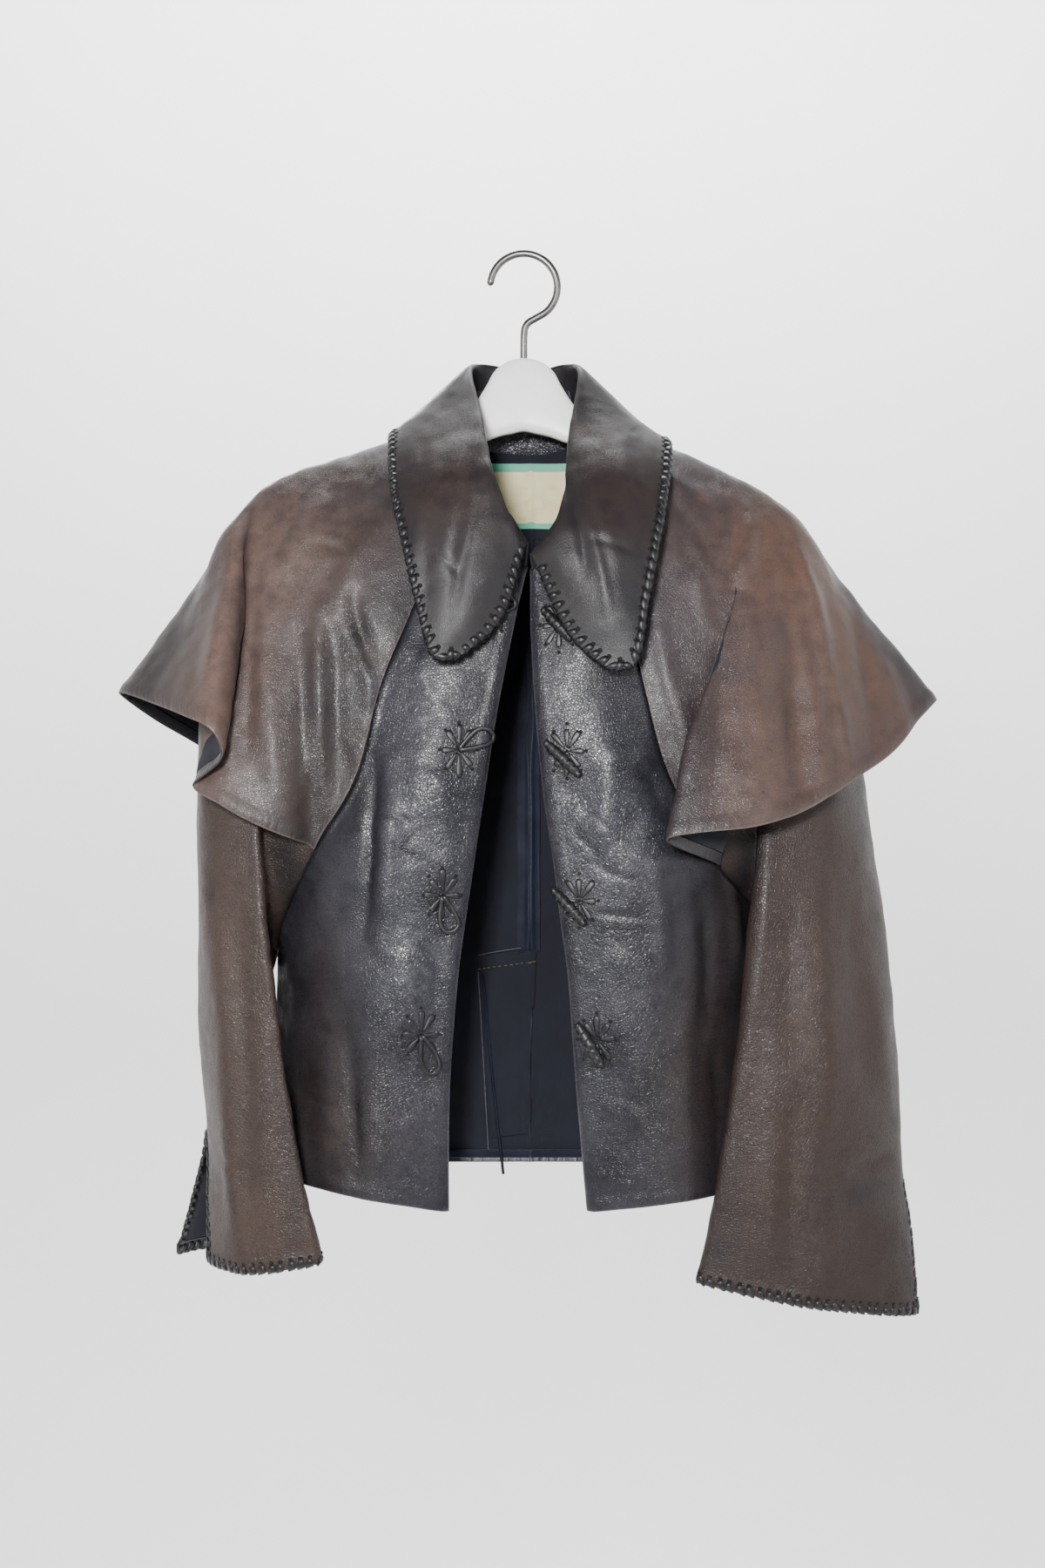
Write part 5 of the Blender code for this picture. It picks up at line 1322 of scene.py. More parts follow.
@dataclass(frozen=True)
class GrainLeather(Finish):
    """Glazed full-grain cowhide, worn: pebbled grain, soft gloss, crackle, browned places, pale places that
    are partly rubbed wear and partly painted highlight, and painted shade in folds and in the grain's
    grooves.
    """

    mottle: str = "#34333A"
    warm: str = "#4A3A34"
    # pale of rubbed wear, also used for painted highlights along lit folds and at the seams
    pale: str = "#66666C"
    # dark of real stains and darkened seams, also used for painted shade in folds, recesses and the grain's
    # grooves
    dark: str = "#0E0E13"
    grain: float = 2.1           # pebble size in mm: the hide's is about 0.8, drawn coarser so that it shows
    pebble: float = 0.42         # height of the pebbles in mm
    groove: float = 0.24         # width of the grooves between them, as a share of their size
    cleft: float = 0.2           # painted shade in those grooves
    wrinkle: float = 0.9         # height of the soft wrinkles in mm
    wrinkle_size: float = 14.0
    crackle: float = 6.5         # plates between wrinkles, in mm
    plates: float = 0.35         # height of the plates in mm
    polish: float = 0.06         # how much smoother the glossy places are
    bloom: float = 0.5           # strength of the pale wear and painted highlights
    soil: float = 0.75           # darkening along the seams
    lip: float = 0.0             # painted highlight right at the seams
    shine: float = 0.5           # specular level

    def constants(self) -> dict[str, float]:
        """Leather's usual IOR, and its own specular level."""
        return {"IOR": 1.5, "Specular IOR Level": self.shine}

    def surface(self, node: Callable[..., Any]) -> dict[str, Any]:
        """Colour, roughness and relief from grain, crackle, wear marks, painted highlights and shade, and
        edge distances.
        """
        place = node("TexCoord").outputs["Object"]
        mark = {name: node("Attribute", attribute_name=name).outputs["Fac"]
                for name in ("warm", "pale", "dark", "gloss", "seam", "hem")}
        cloud = node("TexNoise", Vector=place, Scale=per(55), Detail=5.0, Roughness=0.6)
        spots = node("TexNoise", Vector=place, Scale=per(13), Detail=4.0, Roughness=0.65)
        bend = node("TexNoise", Vector=place, Scale=per(7), Detail=2.0)
        shift = node("VectorMath", bend.outputs["Color"], (0.5, 0.5, 0.5), operation="SUBTRACT")
        shift = node("VectorMath", shift, operation="SCALE", Scale=0.0045)
        bent = node("VectorMath", place, shift, operation="ADD")
        pebble = node("TexVoronoi", Vector=place, Scale=per(self.grain), feature="DISTANCE_TO_EDGE")
        pebble = node("MapRange", pebble, 0.0, self.groove, 0.0, 1.0, interpolation_type="SMOOTHSTEP")
        plate = node("TexVoronoi", Vector=bent, Scale=per(self.crackle), feature="DISTANCE_TO_EDGE")
        plate = node("MapRange", plate, 0.0, 0.16, 0.0, 1.0)

        colour = node("Mix", node("MapRange", cloud, 0.35, 0.68, 0.0, 1.0), linear(self.base),
                      linear(self.mottle), data_type="RGBA")
        reddened = node("Math", mark["warm"], node("MapRange", spots, 0.30, 0.62, 0.45, 1.0),
                        operation="MULTIPLY", use_clamp=True)
        # Pale share: rubbed wear and painted highlights from the marks, the rubbed hem edge, and a painted
        # highlight right at the seams.
        rubbed_and_highlight = node("Math", mark["pale"], node("MapRange", spots, 0.40, 0.66, 0.0, 1.0),
                      operation="MULTIPLY")
        rubbed_and_highlight = node("Math", rubbed_and_highlight, node("MapRange", pebble, 0.0, 1.0, 0.2, 1.0), operation="MULTIPLY")
        edge = node("Math", node("MapRange", mark["hem"], 0.2, 1.8, 0.5, 0.0),
                    node("MapRange", mark["seam"], 0.6, 1.8, self.lip, 0.0), operation="MAXIMUM")
        rubbed_and_highlight = node("Math", node("Math", rubbed_and_highlight, self.bloom, operation="MULTIPLY"), edge,
                      operation="MAXIMUM", use_clamp=True)
        # Dark share: the dark marks, mostly painted shade in folds and recesses with a few real stains, and
        # the darkened seams.
        soiled = node("Math", mark["dark"], node("MapRange", mark["seam"], 0.8, 5.0, self.soil, 0.0),
                      operation="MAXIMUM", use_clamp=True)
        soiled = node("Math", soiled, 0.8, operation="MULTIPLY")
        # Painted shade in the grooves between the pebbles.
        groove_shade_share = node("MapRange", pebble, 0.0, 0.8, self.cleft, 0.0)
        for share, code in ((reddened, self.warm), (rubbed_and_highlight, self.pale), (soiled, self.dark),
                            (groove_shade_share, self.dark)):
            colour = node("Mix", share, colour, linear(code), data_type="RGBA")

        rough = node("MapRange", spots, 0.3, 0.7, self.roughness - 0.04, self.roughness + 0.06)
        rough = node("Math", rough, node("Math", mark["gloss"], self.polish, operation="MULTIPLY"),
                     operation="SUBTRACT")
        rough = node("Math", rough, node("MapRange", pebble, 0.0, 0.7, 0.5 * self.pebble, 0.0),
                     operation="ADD")

        fold = node("TexNoise", Vector=place, Scale=per(self.wrinkle_size), Detail=3.0, Roughness=0.5,
                    Distortion=0.4)
        depth = node("Math", plate, node("MapRange", mark["gloss"], 0.0, 1.0, 0.3, 1.0),
                     operation="MULTIPLY")
        across = node("Mapping", Vector=node("UVMap"), Scale=(per(4.2), per(26), 1.0))
        pucker = node("TexNoise", Vector=across, Scale=1.0, Detail=2.0, Roughness=0.4)
        drawn = node("Math", pucker, node("MapRange", mark["hem"], 1.0, 12.0, 1.0, 0.0),
                     operation="MULTIPLY")
        relief = node("Bump", Height=fold, Strength=0.8, Distance=self.wrinkle * MM)
        for height, strength, reach in ((drawn, 0.9, 1.3), (depth, 0.9, self.plates),
                                        (pebble, 1.0, self.pebble)):
            relief = node("Bump", Height=height, Strength=strength, Distance=reach * MM, Normal=relief)
        return {"Base Color": colour, "Roughness": rough, "Normal": relief}


@dataclass(frozen=True)
class Suede(Finish):
    """The hide's flesh side: matt nap with a soft sheen; along a hem the turned grain side shows instead."""

    lit: str = "#131526"
    turned: str = "#2A282B"
    turn: float = 9.0            # width of the turned hem in mm

    def constants(self) -> dict[str, float]:
        """The nap's faint sheen."""
        return {"Sheen Weight": 0.08, "Sheen Roughness": 0.5}

    def surface(self, node: Callable[..., Any]) -> dict[str, Any]:
        """Nap from fine noise; the hem's turning is a glossier puckered band that ends in a small step."""
        place = node("TexCoord").outputs["Object"]
        hem = node("Attribute", attribute_name="hem").outputs["Fac"]
        turning = node("MapRange", hem, self.turn - 0.5, self.turn + 0.3, 1.0, 0.0)
        nap = node("TexNoise", Vector=place, Scale=per(1.4), Detail=4.0, Roughness=0.7)
        cloud = node("TexNoise", Vector=place, Scale=per(30), Detail=3.0)
        colour = node("Mix", node("MapRange", cloud, 0.35, 0.7, 0.0, 0.5), linear(self.base),
                      linear(self.lit), data_type="RGBA")
        colour = node("Mix", turning, colour, linear(self.turned), data_type="RGBA")
        rough = node("MapRange", turning, 0.0, 1.0, self.roughness, 0.42)
        across = node("Mapping", Vector=node("UVMap"), Scale=(per(4.0), per(20), 1.0))
        pucker = node("TexNoise", Vector=across, Scale=1.0, Detail=2.0)
        pucker = node("Math", pucker, turning, operation="MULTIPLY")
        relief = node("Bump", Height=turning, Strength=1.0, Distance=1.0 * MM)
        relief = node("Bump", Height=pucker, Strength=0.9, Distance=1.5 * MM, Normal=relief)
        relief = node("Bump", Height=nap, Strength=0.5, Distance=0.25 * MM, Normal=relief)
        return {"Base Color": colour, "Roughness": rough, "Normal": relief}


@dataclass(frozen=True)
class Mottled(Finish):
    """A finish of two near colours clouded together, with a fine relief of one size."""

    second: str = "#202024"
    cloud: float = 12.0          # size of the clouding in mm
    relief: float = 0.8          # size of the relief in mm
    depth: float = 0.1           # its height in mm
    shine: float = 0.5           # specular level
    metallic: float = 0.0
    stretch: tuple[float, float, float] = (1.0, 1.0, 1.0)   # of the relief, for brushed or spun surfaces

    def constants(self) -> dict[str, float]:
        """A metal as it comes; otherwise the specular level."""
        return {"Metallic": self.metallic} if self.metallic else {"Specular IOR Level": self.shine}

    def surface(self, node: Callable[..., Any]) -> dict[str, Any]:
        """The two colours mixed by a soft noise, and the raised relief."""
        place = node("TexCoord").outputs["Object"]
        cloud = node("TexNoise", Vector=place, Scale=per(self.cloud), Detail=4.0, Roughness=0.6)
        colour = node("Mix", node("MapRange", cloud, 0.35, 0.65, 0.0, 1.0), linear(self.base),
                      linear(self.second), data_type="RGBA")
        rough = node("MapRange", cloud, 0.3, 0.7, self.roughness - 0.05, self.roughness + 0.06)
        drawn = node("Mapping", Vector=place, Scale=self.stretch)
        fine = node("TexNoise", Vector=drawn, Scale=per(self.relief), Detail=3.0, Roughness=0.6)
        relief = node("Bump", Height=fine, Strength=0.8, Distance=self.depth * MM)
        return {"Base Color": colour, "Roughness": rough, "Normal": relief}


@dataclass(frozen=True)
class LabelCloth(Finish):
    """Woven polyester satin: a cream ground with a plain coloured stripe at top and bottom, left bare."""

    stripe: str = "#5FAE93"
    soiled: str = "#C2A877"
    height: float = 52.0         # of the label, in mm
    bands: tuple[float, float] = (6.6, 4.4)
    thread: float = 0.9          # thread spacing in mm: the cloth's is 0.2, drawn coarser so that it shows

    def constants(self) -> dict[str, float]:
        """The satin's sheen."""
        return {"Sheen Weight": 0.3}

    def surface(self, node: Callable[..., Any]) -> dict[str, Any]:
        """Stripes by the distance down the label; the weave is two crossed waves."""
        down = node("SeparateXYZ", node("UVMap")).outputs["Y"]
        top = node("Math", down, self.bands[0] * MM, operation="LESS_THAN")
        low = node("Math", down, (self.height - self.bands[1]) * MM, operation="GREATER_THAN")
        striped = node("Math", top, low, operation="MAXIMUM")
        place = node("TexCoord").outputs["Object"]
        soil = node("TexNoise", Vector=place, Scale=per(11), Detail=4.0)
        colour = node("Mix", node("MapRange", soil, 0.4, 0.75, 0.0, 0.6), linear(self.base),
                      linear(self.soiled), data_type="RGBA")
        colour = node("Mix", striped, colour, linear(self.stripe), data_type="RGBA")
        waves = [node("TexWave", Vector=node("UVMap"), Scale=per(self.thread) / 3, bands_direction=way)
                 for way in ("X", "Y")]
        weave = node("Math", *waves, operation="MULTIPLY")
        return {"Base Color": colour, "Normal": node("Bump", Height=weave, Strength=0.5, Distance=0.12 * MM)}


class Look:
    """Every finish of the jacket and its hanger, made once."""

    def __init__(self) -> None:
        """Makes the materials."""
        # Fronts and back: navy hide gone grey, its gloss broken into glints by pebbles and wrinkles.
        self.navy = GrainLeather("Navy full-grain leather", "#1A1A20", 0.3, warm="#39302D", grain=1.9,
                                 pebble=0.11, groove=0.2, cleft=0.5, wrinkle=0.5, wrinkle_size=16,
                                 crackle=5.5, plates=0.13, shine=0.35).material()
        # Capes: the same hide sun-browned, smoother, with a soft satin shine along its folds.
        cape = GrainLeather("Sun-browned cape leather", "#362F2C", 0.34, mottle="#302D31", warm="#6B564E",
                            pale="#7A6D66", grain=1.5, pebble=0.1, wrinkle=0.55, wrinkle_size=21,
                            plates=0.06, bloom=0.3, soil=0.2, lip=0.4, shine=0.36)
        tan = replace(cape, name="Tan cape leather", base="#3E3636", mottle="#353035", warm="#5F483D")
        self.capes = {Side.RIGHT: cape.material(), Side.LEFT: tan.material()}
        # Sleeves: drier and redder than the capes, with a fine close grain; the left one darker.
        sleeve = GrainLeather("Dry brown sleeve leather", "#382B26", 0.4, mottle="#302622", warm="#4A372E",
                              pale="#66554C", grain=1.9, pebble=0.17, cleft=0.3, wrinkle=0.75,
                              wrinkle_size=11, plates=0.13, bloom=0.25, shine=0.38)
        dark = replace(sleeve, name="Dark brown sleeve leather", base="#302420", mottle="#281E1B",
                       warm="#402E26")
        self.sleeves = {Side.RIGHT: sleeve.material(), Side.LEFT: dark.material()}
        # Collar: handled leather, darker than the sleeves, its grain rubbed nearly flat.
        self.collar = GrainLeather("Handled collar leather", "#262324", 0.4, mottle="#1C1B20", warm="#3C2F2A",
                                   pale="#565250", grain=1.4, pebble=0.06, wrinkle=0.25, plates=0.04,
                                   bloom=0.3, soil=0.3, shine=0.3).material()
        # Facing inside the neck: thin glazed hide, drawn into sharp wrinkles that glint.
        self.facing = GrainLeather("Wrinkled neck facing", "#26242E", 0.24, pebble=0.15, wrinkle=1.8,
                                   wrinkle_size=5, plates=0.2).material()
        # Flesh side: nearly black, no shine, and the turned hem's shiny puckers.
        self.suede = Suede("Navy suede flesh side", "#0A0C18", 0.93).material()
        # Cut edges: pale fibres darkened by handling.
        self.raw_edge = Mottled("Raw leather edge", "#2A2728", 0.7, second="#3E3936", cloud=3,
                                relief=0.5).material()
        # Tapes and turnings inside: the hide's grain side, dull and deep navy.
        self.tape = Mottled("Navy leather turning", "#181B2C", 0.6, second="#121522", cloud=20,
                            relief=1.5, depth=0.15, shine=0.12).material()
        # Cut edges inside, left pale.
        self.cut_edge = Mottled("Pale cut edge", "#4E515E", 0.6, second="#3C3E4A", cloud=3,
                                relief=0.5).material()
        # Lace: narrow glazed strip, nearly black, with a soft shine along its crown.
        self.lace = Mottled("Glazed leather lace", "#131317", 0.42, second="#1B1A1D", cloud=9, relief=1.2,
                            depth=0.12).material()
        # Toggles: the same lace rolled tight, which deepens its relief.
        self.rolled = Mottled("Rolled leather lace", "#101012", 0.42, second="#181718", cloud=5,
                              relief=1.1, depth=0.2).material()
        # Punched holes: painted shade, a near-black disc where the hole's inside lies in shadow.
        self.hole = Mottled("Punched hole", "#050506", 0.9, second="#09090A").material()
        # Label: yellowed cream satin, bare between its two stripes.
        self.label = LabelCloth("Woven satin label", "#DDD6A9", 0.7).material()
        # Thread: waxed linen, yellowed.
        self.thread = Mottled("Yellowed linen thread", "#75653F", 0.75, second="#574C33", cloud=4,
                              relief=0.4).material()
        # Hanger: injection-moulded polystyrene, smooth and white with a faint swirl.
        self.plastic = Mottled("White moulded polystyrene", "#F4F4F2", 0.32, second="#EEEEEC", cloud=60,
                               relief=5, depth=0.05).material()
        # Hook: steel wire brushed along its length, plated.
        self.steel = Mottled("Brushed steel wire", "#8A8885", 0.3, second="#74726F", cloud=14, relief=0.5,
                             depth=0.03, metallic=1.0, stretch=(1.0, 1.0, 0.12)).material()
        # Studio paper: matt and pale.
        self.paper = Mottled("Matt studio paper", "#E4E4E4", 0.9, second="#E1E1E1", cloud=900, relief=4,
                             depth=0.02).material()


@dataclass
class Jacket:
    """The garment's leather panels, with the lacing along their free edges."""

    look: Look
    panels: dict[str, Panel] = field(default_factory=dict)
    collar_turn: float = 1.12    # row place on the collar below which its ends are laced
    cuff_pitch: float = 7.4      # from turn to turn of the cuff's lace, in mm

    def _wall(self, panel: Panel, parts: Sequence[PanelPart], outer: Material) -> Piece:
        """One leather wall from its grids, riding on the body in place of its solid."""
        self.panels[panel.name] = panel
        grids, normals, fields = (list(values) for values in zip(*parts))
        wall = Wall(f"worn_{panel.name}", grids, normals, fields)
        return ride(wall.build(outer, self.look.suede, self.look.raw_edge), panel.name)

    def _lacing(self, name: str, lacing: WhipLacing, border: Border) -> list[Piece]:
        """The whipped lace along a border, and the painted shade of its holes."""
        return [solid(name, lacing.build(border), self.look.lace, "leather_lace"),
                solid(f"{name}_holes", lacing.holes(border), self.look.hole, "leather_lace")]

    def fronts_and_backs(self) -> None:
        """Both fronts and both halves of the back."""
        body = Body()
        for side in Side:
            for make, cut in ((body.front, "front"), (body.back, "back")):
                panel = make(side)
                piece = self._wall(panel, [panel.part(slice(None))], self.look.navy)

    def sleeves(self) -> None:
        """Both sleeves and their laced cuffs, the lace running up and down the slit's lips."""
        for side in Side:
            sleeve = Sleeve(side)
            panel = sleeve.panel()
            halves = sleeve.halves(panel)
            piece = self._wall(panel, halves, self.look.sleeves[side])
            (front, front_normal, _), (back, back_normal, _) = halves
            slit = slice(np.searchsorted(sleeve.along, SLIT_TOP) + 2, -2)
            border = Border.of(front, front_normal, "bottom").joined_to(
                Border.of(front, front_normal, "end", slit).reversed(),
                Border.of(back, back_normal, "start", slit), Border.of(back, back_normal, "bottom"))
            lacing = WhipLacing(pitch=self.cuff_pitch, seed=60 + side.value)
            trim = self._lacing(f"cuff_lacing_{side.word}", lacing, border)

    def capes(self) -> None:
        """Both shoulder capes."""
        for side in Side:
            panel = Cape(side).panel()
            piece = self._wall(panel, [panel.part(slice(None))], self.look.capes[side])

    def collar(self) -> None:
        """The collar, laced all round its free edges."""
        collar = Collar()
        panel = collar.panel()
        piece = self._wall(panel, [panel.part(slice(None))], self.look.collar)
        leaf = slice(np.searchsorted(collar.rows, self.collar_turn), -2)
        start, edge, end = (Border.of(panel.grid, panel.normal, *which)
                            for which in (("start", leaf), ("bottom",), ("end", leaf)))
        trim = self._lacing("collar_lacing", WhipLacing(), start.joined_to(edge, end.reversed()))


@dataclass
class Inside:
    """What shows in the open front: hem bands, seam allowances, vent, label and neck band; sizes in mm."""

    look: Look
    panels: dict[str, Panel]
    hem_reach: float = 10.5      # from the back's hem to the hem band's upper edge
    hem_pucker: float = 0.35
    allowance_lift: float = 0.5  # of the seam allowances over what lies flat on the back
    allowance_wave: tuple[float, float] = (0.5, 0.3)   # unevenness aside, and through the thickness
    underlap_lift: float = 1.0
    underlap_belly: float = 0.8
    underlap_slant: float = 4.0  # how much higher its right end is
    edge: tuple[float, float] = (2.0, 0.4)             # height over the back and half width of a folded edge,
    strap: tuple[float, float] = (2.6, 1.3)            # and of the strap
    label_lift: float = 0.2
    label_belly: float = 0.7
    label_wall: float = 0.8
    neck_rows: int = 14          # of the collar's stand, that the neck band covers
    neck_reach: float = 58.0     # to each side of the centre
    neck_belly: tuple[float, float] = (1.6, 1.2)       # its roundness, and the height of its wrinkles
    stitches: int = 11
    stitch: Row = (2.4, 2.4, 0.38, 0.35)               # its height, length, half thickness and dip

    def build(self) -> None:
        """All pieces, laid on the inner face of the back."""
        back = Surface(self.panels["back_right"], self.panels["back_left"])
        for side in Side:
            self._hem_band(side)
            self._seam_allowance(side, back)
        self._vent(back)
        self._label(back)
        self._neck_band()

    def _hem_band(self, side: Side) -> None:
        """The turned hem: the back's last rows moved inwards, with a random pucker for each column."""
        panel = self.panels[f"back_{side.word}"]
        near = panel.distance["bottom"][:, 0] < self.hem_reach
        grid = panel.grid[near][:-1]
        random = np.random.default_rng(70 + side.value)
        pucker = np.convolve(random.normal(0, 1, grid.shape[1] + 8), np.ones(2) / 2, "same")[4:-4]
        lift = INWARDS + (pucker * self.hem_pucker)[None, :, None]
        self._laid(f"hem_band_{side.word}", grid + panel.normal[near][:-1] * lift, self.look.tape)

    def _seam_allowance(self, side: Side, back: Surface) -> None:
        """A straight strip beside the centre seam, waved a little by smooth noise."""
        left, right, top, low = SEAM_ALLOWANCES[side]
        aside, through = self.allowance_wave
        x, z = np.meshgrid(np.linspace(left, right, 8), np.linspace(top, low, 120))
        wave = unevenness(np.stack([x, z * 0, z], axis=-1), 24, 80 + side.value)
        grid, _ = back.at(x + aside * wave, z, INWARDS - self.allowance_lift - through * wave)
        name = f"seam_allowance_{side.word}"
        self._laid(name, softened(grid, 20), self.look.tape)

    def _vent(self, back: Surface) -> None:
        """The underlap, bellied across by a half sine, its stitched top, folded edges and strap."""
        top_left, top_right, low_left, low_right, top, low = VENT_UNDERLAP
        down, across = np.meshgrid(np.linspace(0, 1, 60), np.linspace(0, 1, 18), indexing="ij")
        left, right = top_left + (low_left - top_left) * down, top_right + (low_right - top_right) * down
        grid, _ = back.at(left + (right - left) * across,
                          top + self.underlap_slant * across + (low - top) * down,
                          INWARDS - self.underlap_lift - self.underlap_belly * np.sin(np.pi * across) * down)
        self._laid("vent_underlap", grid, self.look.suede)
        self._stitches("vent_stitches", back, *VENT_STITCHES)
        self._strands("vent_edges", back, VENT_EDGES, *self.edge, self.look.cut_edge)
        self._strands("vent_strap", back, VENT_STRAP, *self.strap, self.look.tape)

    def _label(self, back: Surface) -> None:
        """A plain oblong of cloth, bellied down its height by a half sine."""
        left, right, slant, top, low = LABEL
        down, across = np.meshgrid(np.linspace(0, 1, 40), np.linspace(0, 1, 48), indexing="ij")
        grid, _ = back.at(left + (right - left) * across + slant * down, top + (low - top) * down,
                          INWARDS - self.label_lift - self.label_belly * np.sin(np.pi * down))
        self._laid("label", grid, self.look.label, self.label_wall)

    def _neck_band(self) -> None:
        """The facing of the collar's stand: its rows moved forward, rounded by a half sine and wrinkled."""
        stand = self.panels["collar"].grid
        middle, reach = stand.shape[1] // 2, round(self.neck_reach / Collar.spacing)
        grid = stand[:self.neck_rows, middle - reach:middle + reach]
        depth = np.sin(np.pi * np.linspace(0, 1, len(grid)))[:, None]
        wrinkle = unevenness(grid * (1.0, 1.0, 0.4), 7, 91)
        belly, height = self.neck_belly
        lift = -INWARDS + belly * depth + height * wrinkle * depth
        self._laid("neck_band", grid + normals_of(grid, (0, -1, 0)) * lift[..., None], self.look.facing)

    def _laid(self, name: str, grid: Grid, finish: Material,
              wall: float = LEATHER) -> None:
        """A small piece laid inside, its fair side to the front."""
        across, down = lengths_of(grid)
        edge = np.minimum.reduce([across, across[:, -1:] - across, down, down[-1:] - down]) + 20
        fields = {"uv": np.stack([across, down], axis=-1), "hem": edge, "seam": edge}
        rim = finish if finish is self.look.label else self.look.cut_edge
        piece = Wall(f"laid_{name}", [grid], [normals_of(grid, (0, -1, 0))], [fields], wall)
        piece = ride(piece.build(finish, finish, rim), name)

    def _stitches(self, name: str, surface: Surface, start: Row, end: Row) -> None:
        """A row of short running stitches, each a rounded strand dipping in at both ends."""
        lift, length, half, dip = self.stitch
        way = np.array(end, float) - start
        t = np.linspace(-1, 1, 5)
        share = (np.linspace(0, 1, self.stitches)[:, None] + length / np.linalg.norm(way) / 2 * t[None])
        points, normal = surface.at(start[0] + way[0] * share, start[1] + way[1] * share,
                                    INWARDS - lift - dip * np.cos(np.pi / 2 * t)[None] * np.ones_like(share))
        side, up = frames_along(points, normal)
        thick = half * np.sqrt(np.clip(1 - np.linspace(-0.95, 0.95, 5) ** 2, 0.1, 1))[None]
        solid(name, sweep(points, side, up, thick, thick), self.look.thread, "leather_lace")

    def _strands(self, name: str, surface: Surface, lines: Sequence[Any], lift: float, half: float,
                 finish: Material) -> None:
        """Strands of one half width, each laid straight between two points."""
        t = np.linspace(0, 1, 40)[None, :]
        start, end = (np.array([line[k] for line in lines], float)[:, None] for k in (0, 1))
        spot = start + (end - start) * t[..., None]
        points, normal = surface.at(spot[..., 0], spot[..., 1], INWARDS - lift)
        points = softened(points.swapaxes(0, 1), 8).swapaxes(0, 1)
        side, up = frames_along(points, normal)
        solid(name, sweep(points, side, up, half, half * 0.6), finish, "navy_suede")


def close(look: Look, panels: dict[str, Panel]) -> None:
    """The rosettes with the painted shade of their holes on both fronts, loops on the right and toggles on
    the left.
    """
    closures = Closures()
    for side, centres in FLOWERS.items():
        surface = Surface(panels[f"front_{side.word}"])
        for number, centre in enumerate(centres, 1):
            name = f"flower_{side.word}_{number}"
            petals = closures.rosette(surface, centre, 100 + number * side.value)
            solid(f"lace_{name}", petals, look.lace, "leather_lace", name)
        eyelets = joined([closures.eyelets(surface, centre) for centre in centres])
        solid(f"eyelets_{side.word}", eyelets, look.hole, "leather_lace")
        if side is Side.RIGHT:
            for number, (start, (end, width)) in enumerate(zip(centres, LOOPS), 1):
                loop = closures.loop(surface, start, end, width)
                solid(f"lace_loop_{number}", loop, look.lace, "leather_lace", f"loop_{number}")
        else:
            for number, ends in enumerate(TOGGLES, 1):
                toggle = closures.toggle(surface, ends)
                solid(f"rolled_toggle_{number}", toggle, look.rolled, "leather_lace", f"toggle_{number}")


def hang(look: Look) -> None:
    """The hanger's body and hook, in place of their solids."""
    hanger = Hanger()
    solid("moulded_hanger", hanger.body(), look.plastic, "white_plastic", "hanger_body")
    solid("wire_hook", hanger.hook(), look.steel, "brushed_steel", "hanger_hook")


@dataclass(frozen=True)
class SoftBox:
    """A square area light; places in metres, power in watts."""

    name: str
    place: tuple[float, float, float]
    size: float
    power: float
    aim: tuple[float, float, float] = (0.0, 0.0, -0.4)

    def light(self) -> None:
        """Puts the light in the scene, turned to its aim."""
        data = bpy.data.lights.new(self.name, "AREA")
        data.size, data.energy = self.size, self.power
        lamp = bpy.data.objects.new(self.name, data)
        lamp.location = self.place
        lamp.rotation_euler = (Vector(self.aim) - Vector(self.place)).to_track_quat("-Z", "Y").to_euler()
        bpy.context.scene.collection.objects.link(lamp)


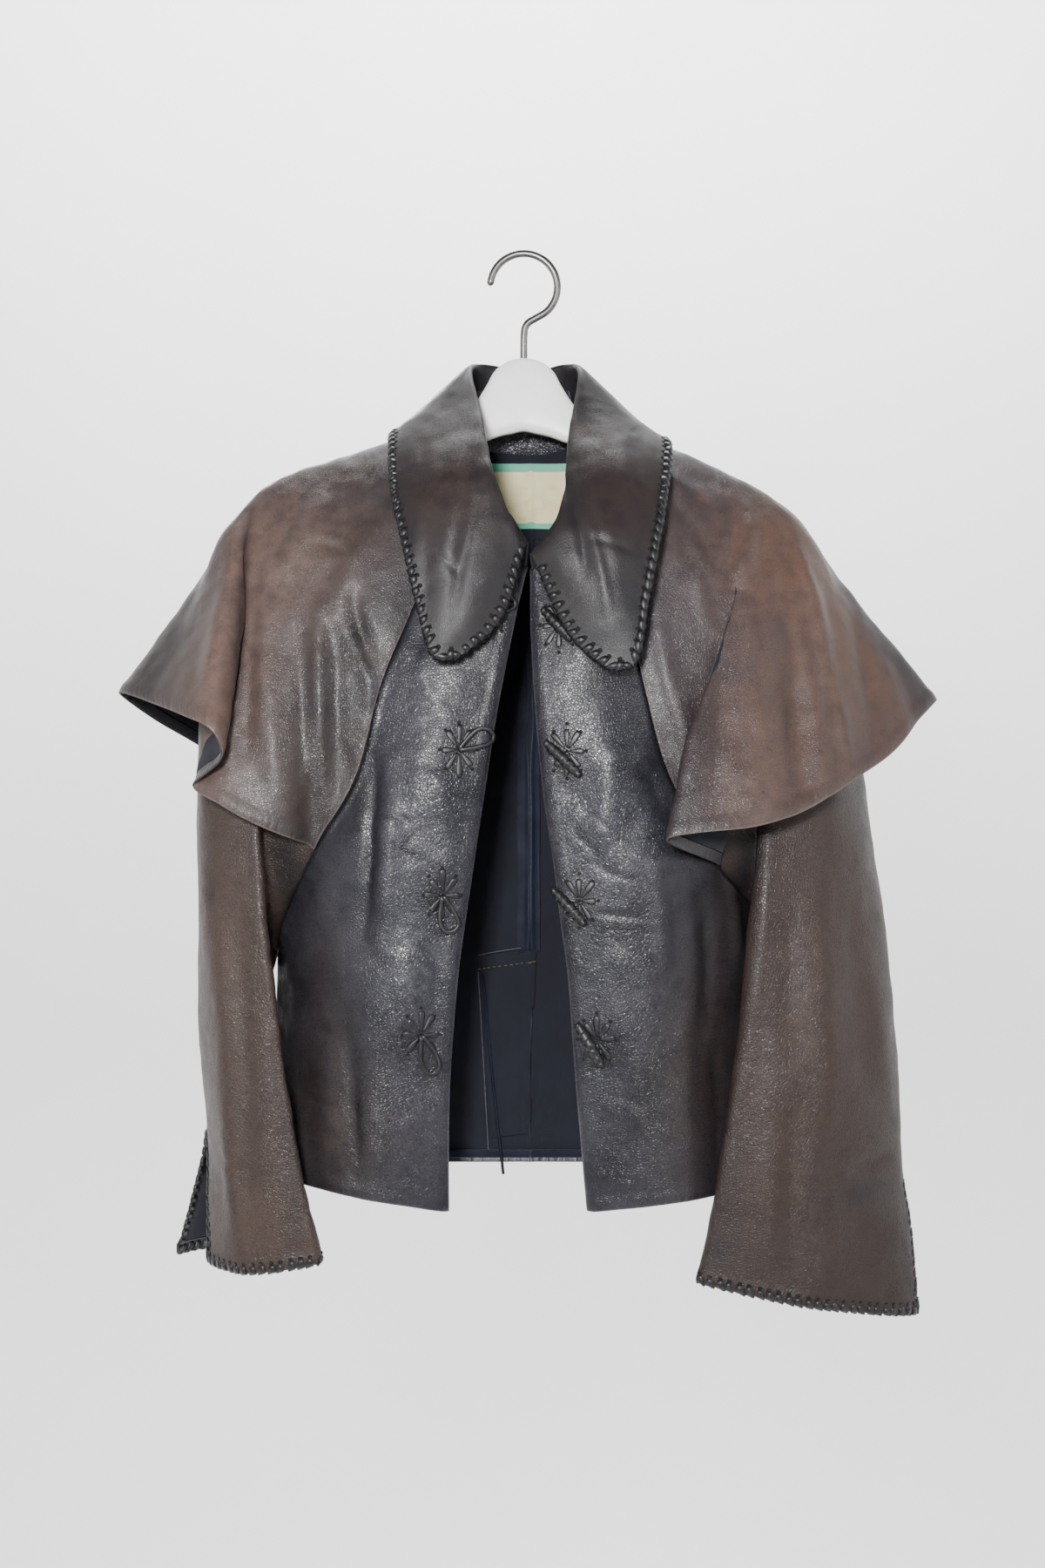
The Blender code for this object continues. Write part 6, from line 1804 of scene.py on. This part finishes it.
@dataclass
class Studio:
    """A round pale studio with soft lights, and the camera in front of the jacket; all in metres."""

    look: Look
    radius: float = 4.6
    floor: float = -2.3
    ceiling: float = 3.0
    cove: float = 1.2
    eye: tuple[float, float, float] = (-0.00102, -1.7, -0.4112)
    lens: float = 50.0           # in mm, on a sensor 36 mm wide
    sky: tuple[str, float] = ("#E4E6EA", 0.22)
    boxes: tuple[SoftBox, ...] = (
        SoftBox("Key", (-0.24, -1.9, -0.08), 0.24, 56, (0.0, 0.0, -0.42)),
        SoftBox("Left box", (-1.9, -1.7, 0.1), 0.6, 8, (0.0, 0.0, -0.45)),
        SoftBox("Right box", (2.0, -1.6, 0.1), 0.6, 9, (0.0, 0.0, -0.45)),
        SoftBox("Side fill", (2.6, 0.4, 0.4), 1.8, 5),
        SoftBox("Rear box", (-0.8, 2.8, 0.8), 0.8, 36),
        SoftBox("Wall wash", (0.0, 2.2, 2.7), 2.0, 460, (0.0, 4.6, -0.4)),
    )

    def build(self) -> None:
        """Room, lights, sky and camera."""
        self._room()
        for box in self.boxes:
            box.light()
        world = bpy.data.worlds.new("Pale room")
        bpy.context.scene.world = world
        world.use_nodes = True
        background = world.node_tree.nodes["Background"]
        background.inputs["Color"].default_value = linear(self.sky[0])
        background.inputs["Strength"].default_value = self.sky[1]
        camera = bpy.data.cameras.new("Camera")
        camera.lens = self.lens
        camera.sensor_width = 36.0
        stand = bpy.data.objects.new("Camera", camera)
        stand.location = self.eye
        stand.rotation_euler = (math.pi / 2, 0.0, 0.0)
        bpy.context.scene.collection.objects.link(stand)
        bpy.context.scene.camera = stand

    def _room(self) -> None:
        """Floor and wall as one turned profile: flat, then a quarter circle of the cove, then upright."""
        bend = np.linspace(0, np.pi / 2, 13)
        inner = self.radius - self.cove
        flat = np.linspace(0, inner, 6)[:-1]
        reach = np.concatenate([flat, inner + self.cove * np.sin(bend), [self.radius]])
        height = np.concatenate([np.full(len(flat), self.floor),
                                 self.floor + self.cove * (1 - np.cos(bend)), [self.ceiling]])
        turn = np.linspace(0, 2 * np.pi, 97)
        grid = np.stack([reach[:, None] * np.cos(turn), reach[:, None] * np.sin(turn),
                         height[:, None] + 0 * turn], axis=-1) / MM
        new_mesh("Studio floor and wall", grid.reshape(-1, 3), quads_of(*grid.shape[:2]),
                          (self.look.paper,))


def main() -> None:
    """Builds the jacket on its hanger in the studio."""
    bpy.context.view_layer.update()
    look = Look()
    Studio(look).build()
    jacket = Jacket(look)
    for step in (jacket.fronts_and_backs, jacket.sleeves, jacket.capes, jacket.collar):
        step()
        LOG.info("%s: done", step.__name__)
    Inside(look, jacket.panels).build()
    close(look, jacket.panels)
    hang(look)


if __name__ == "__main__":
    main()
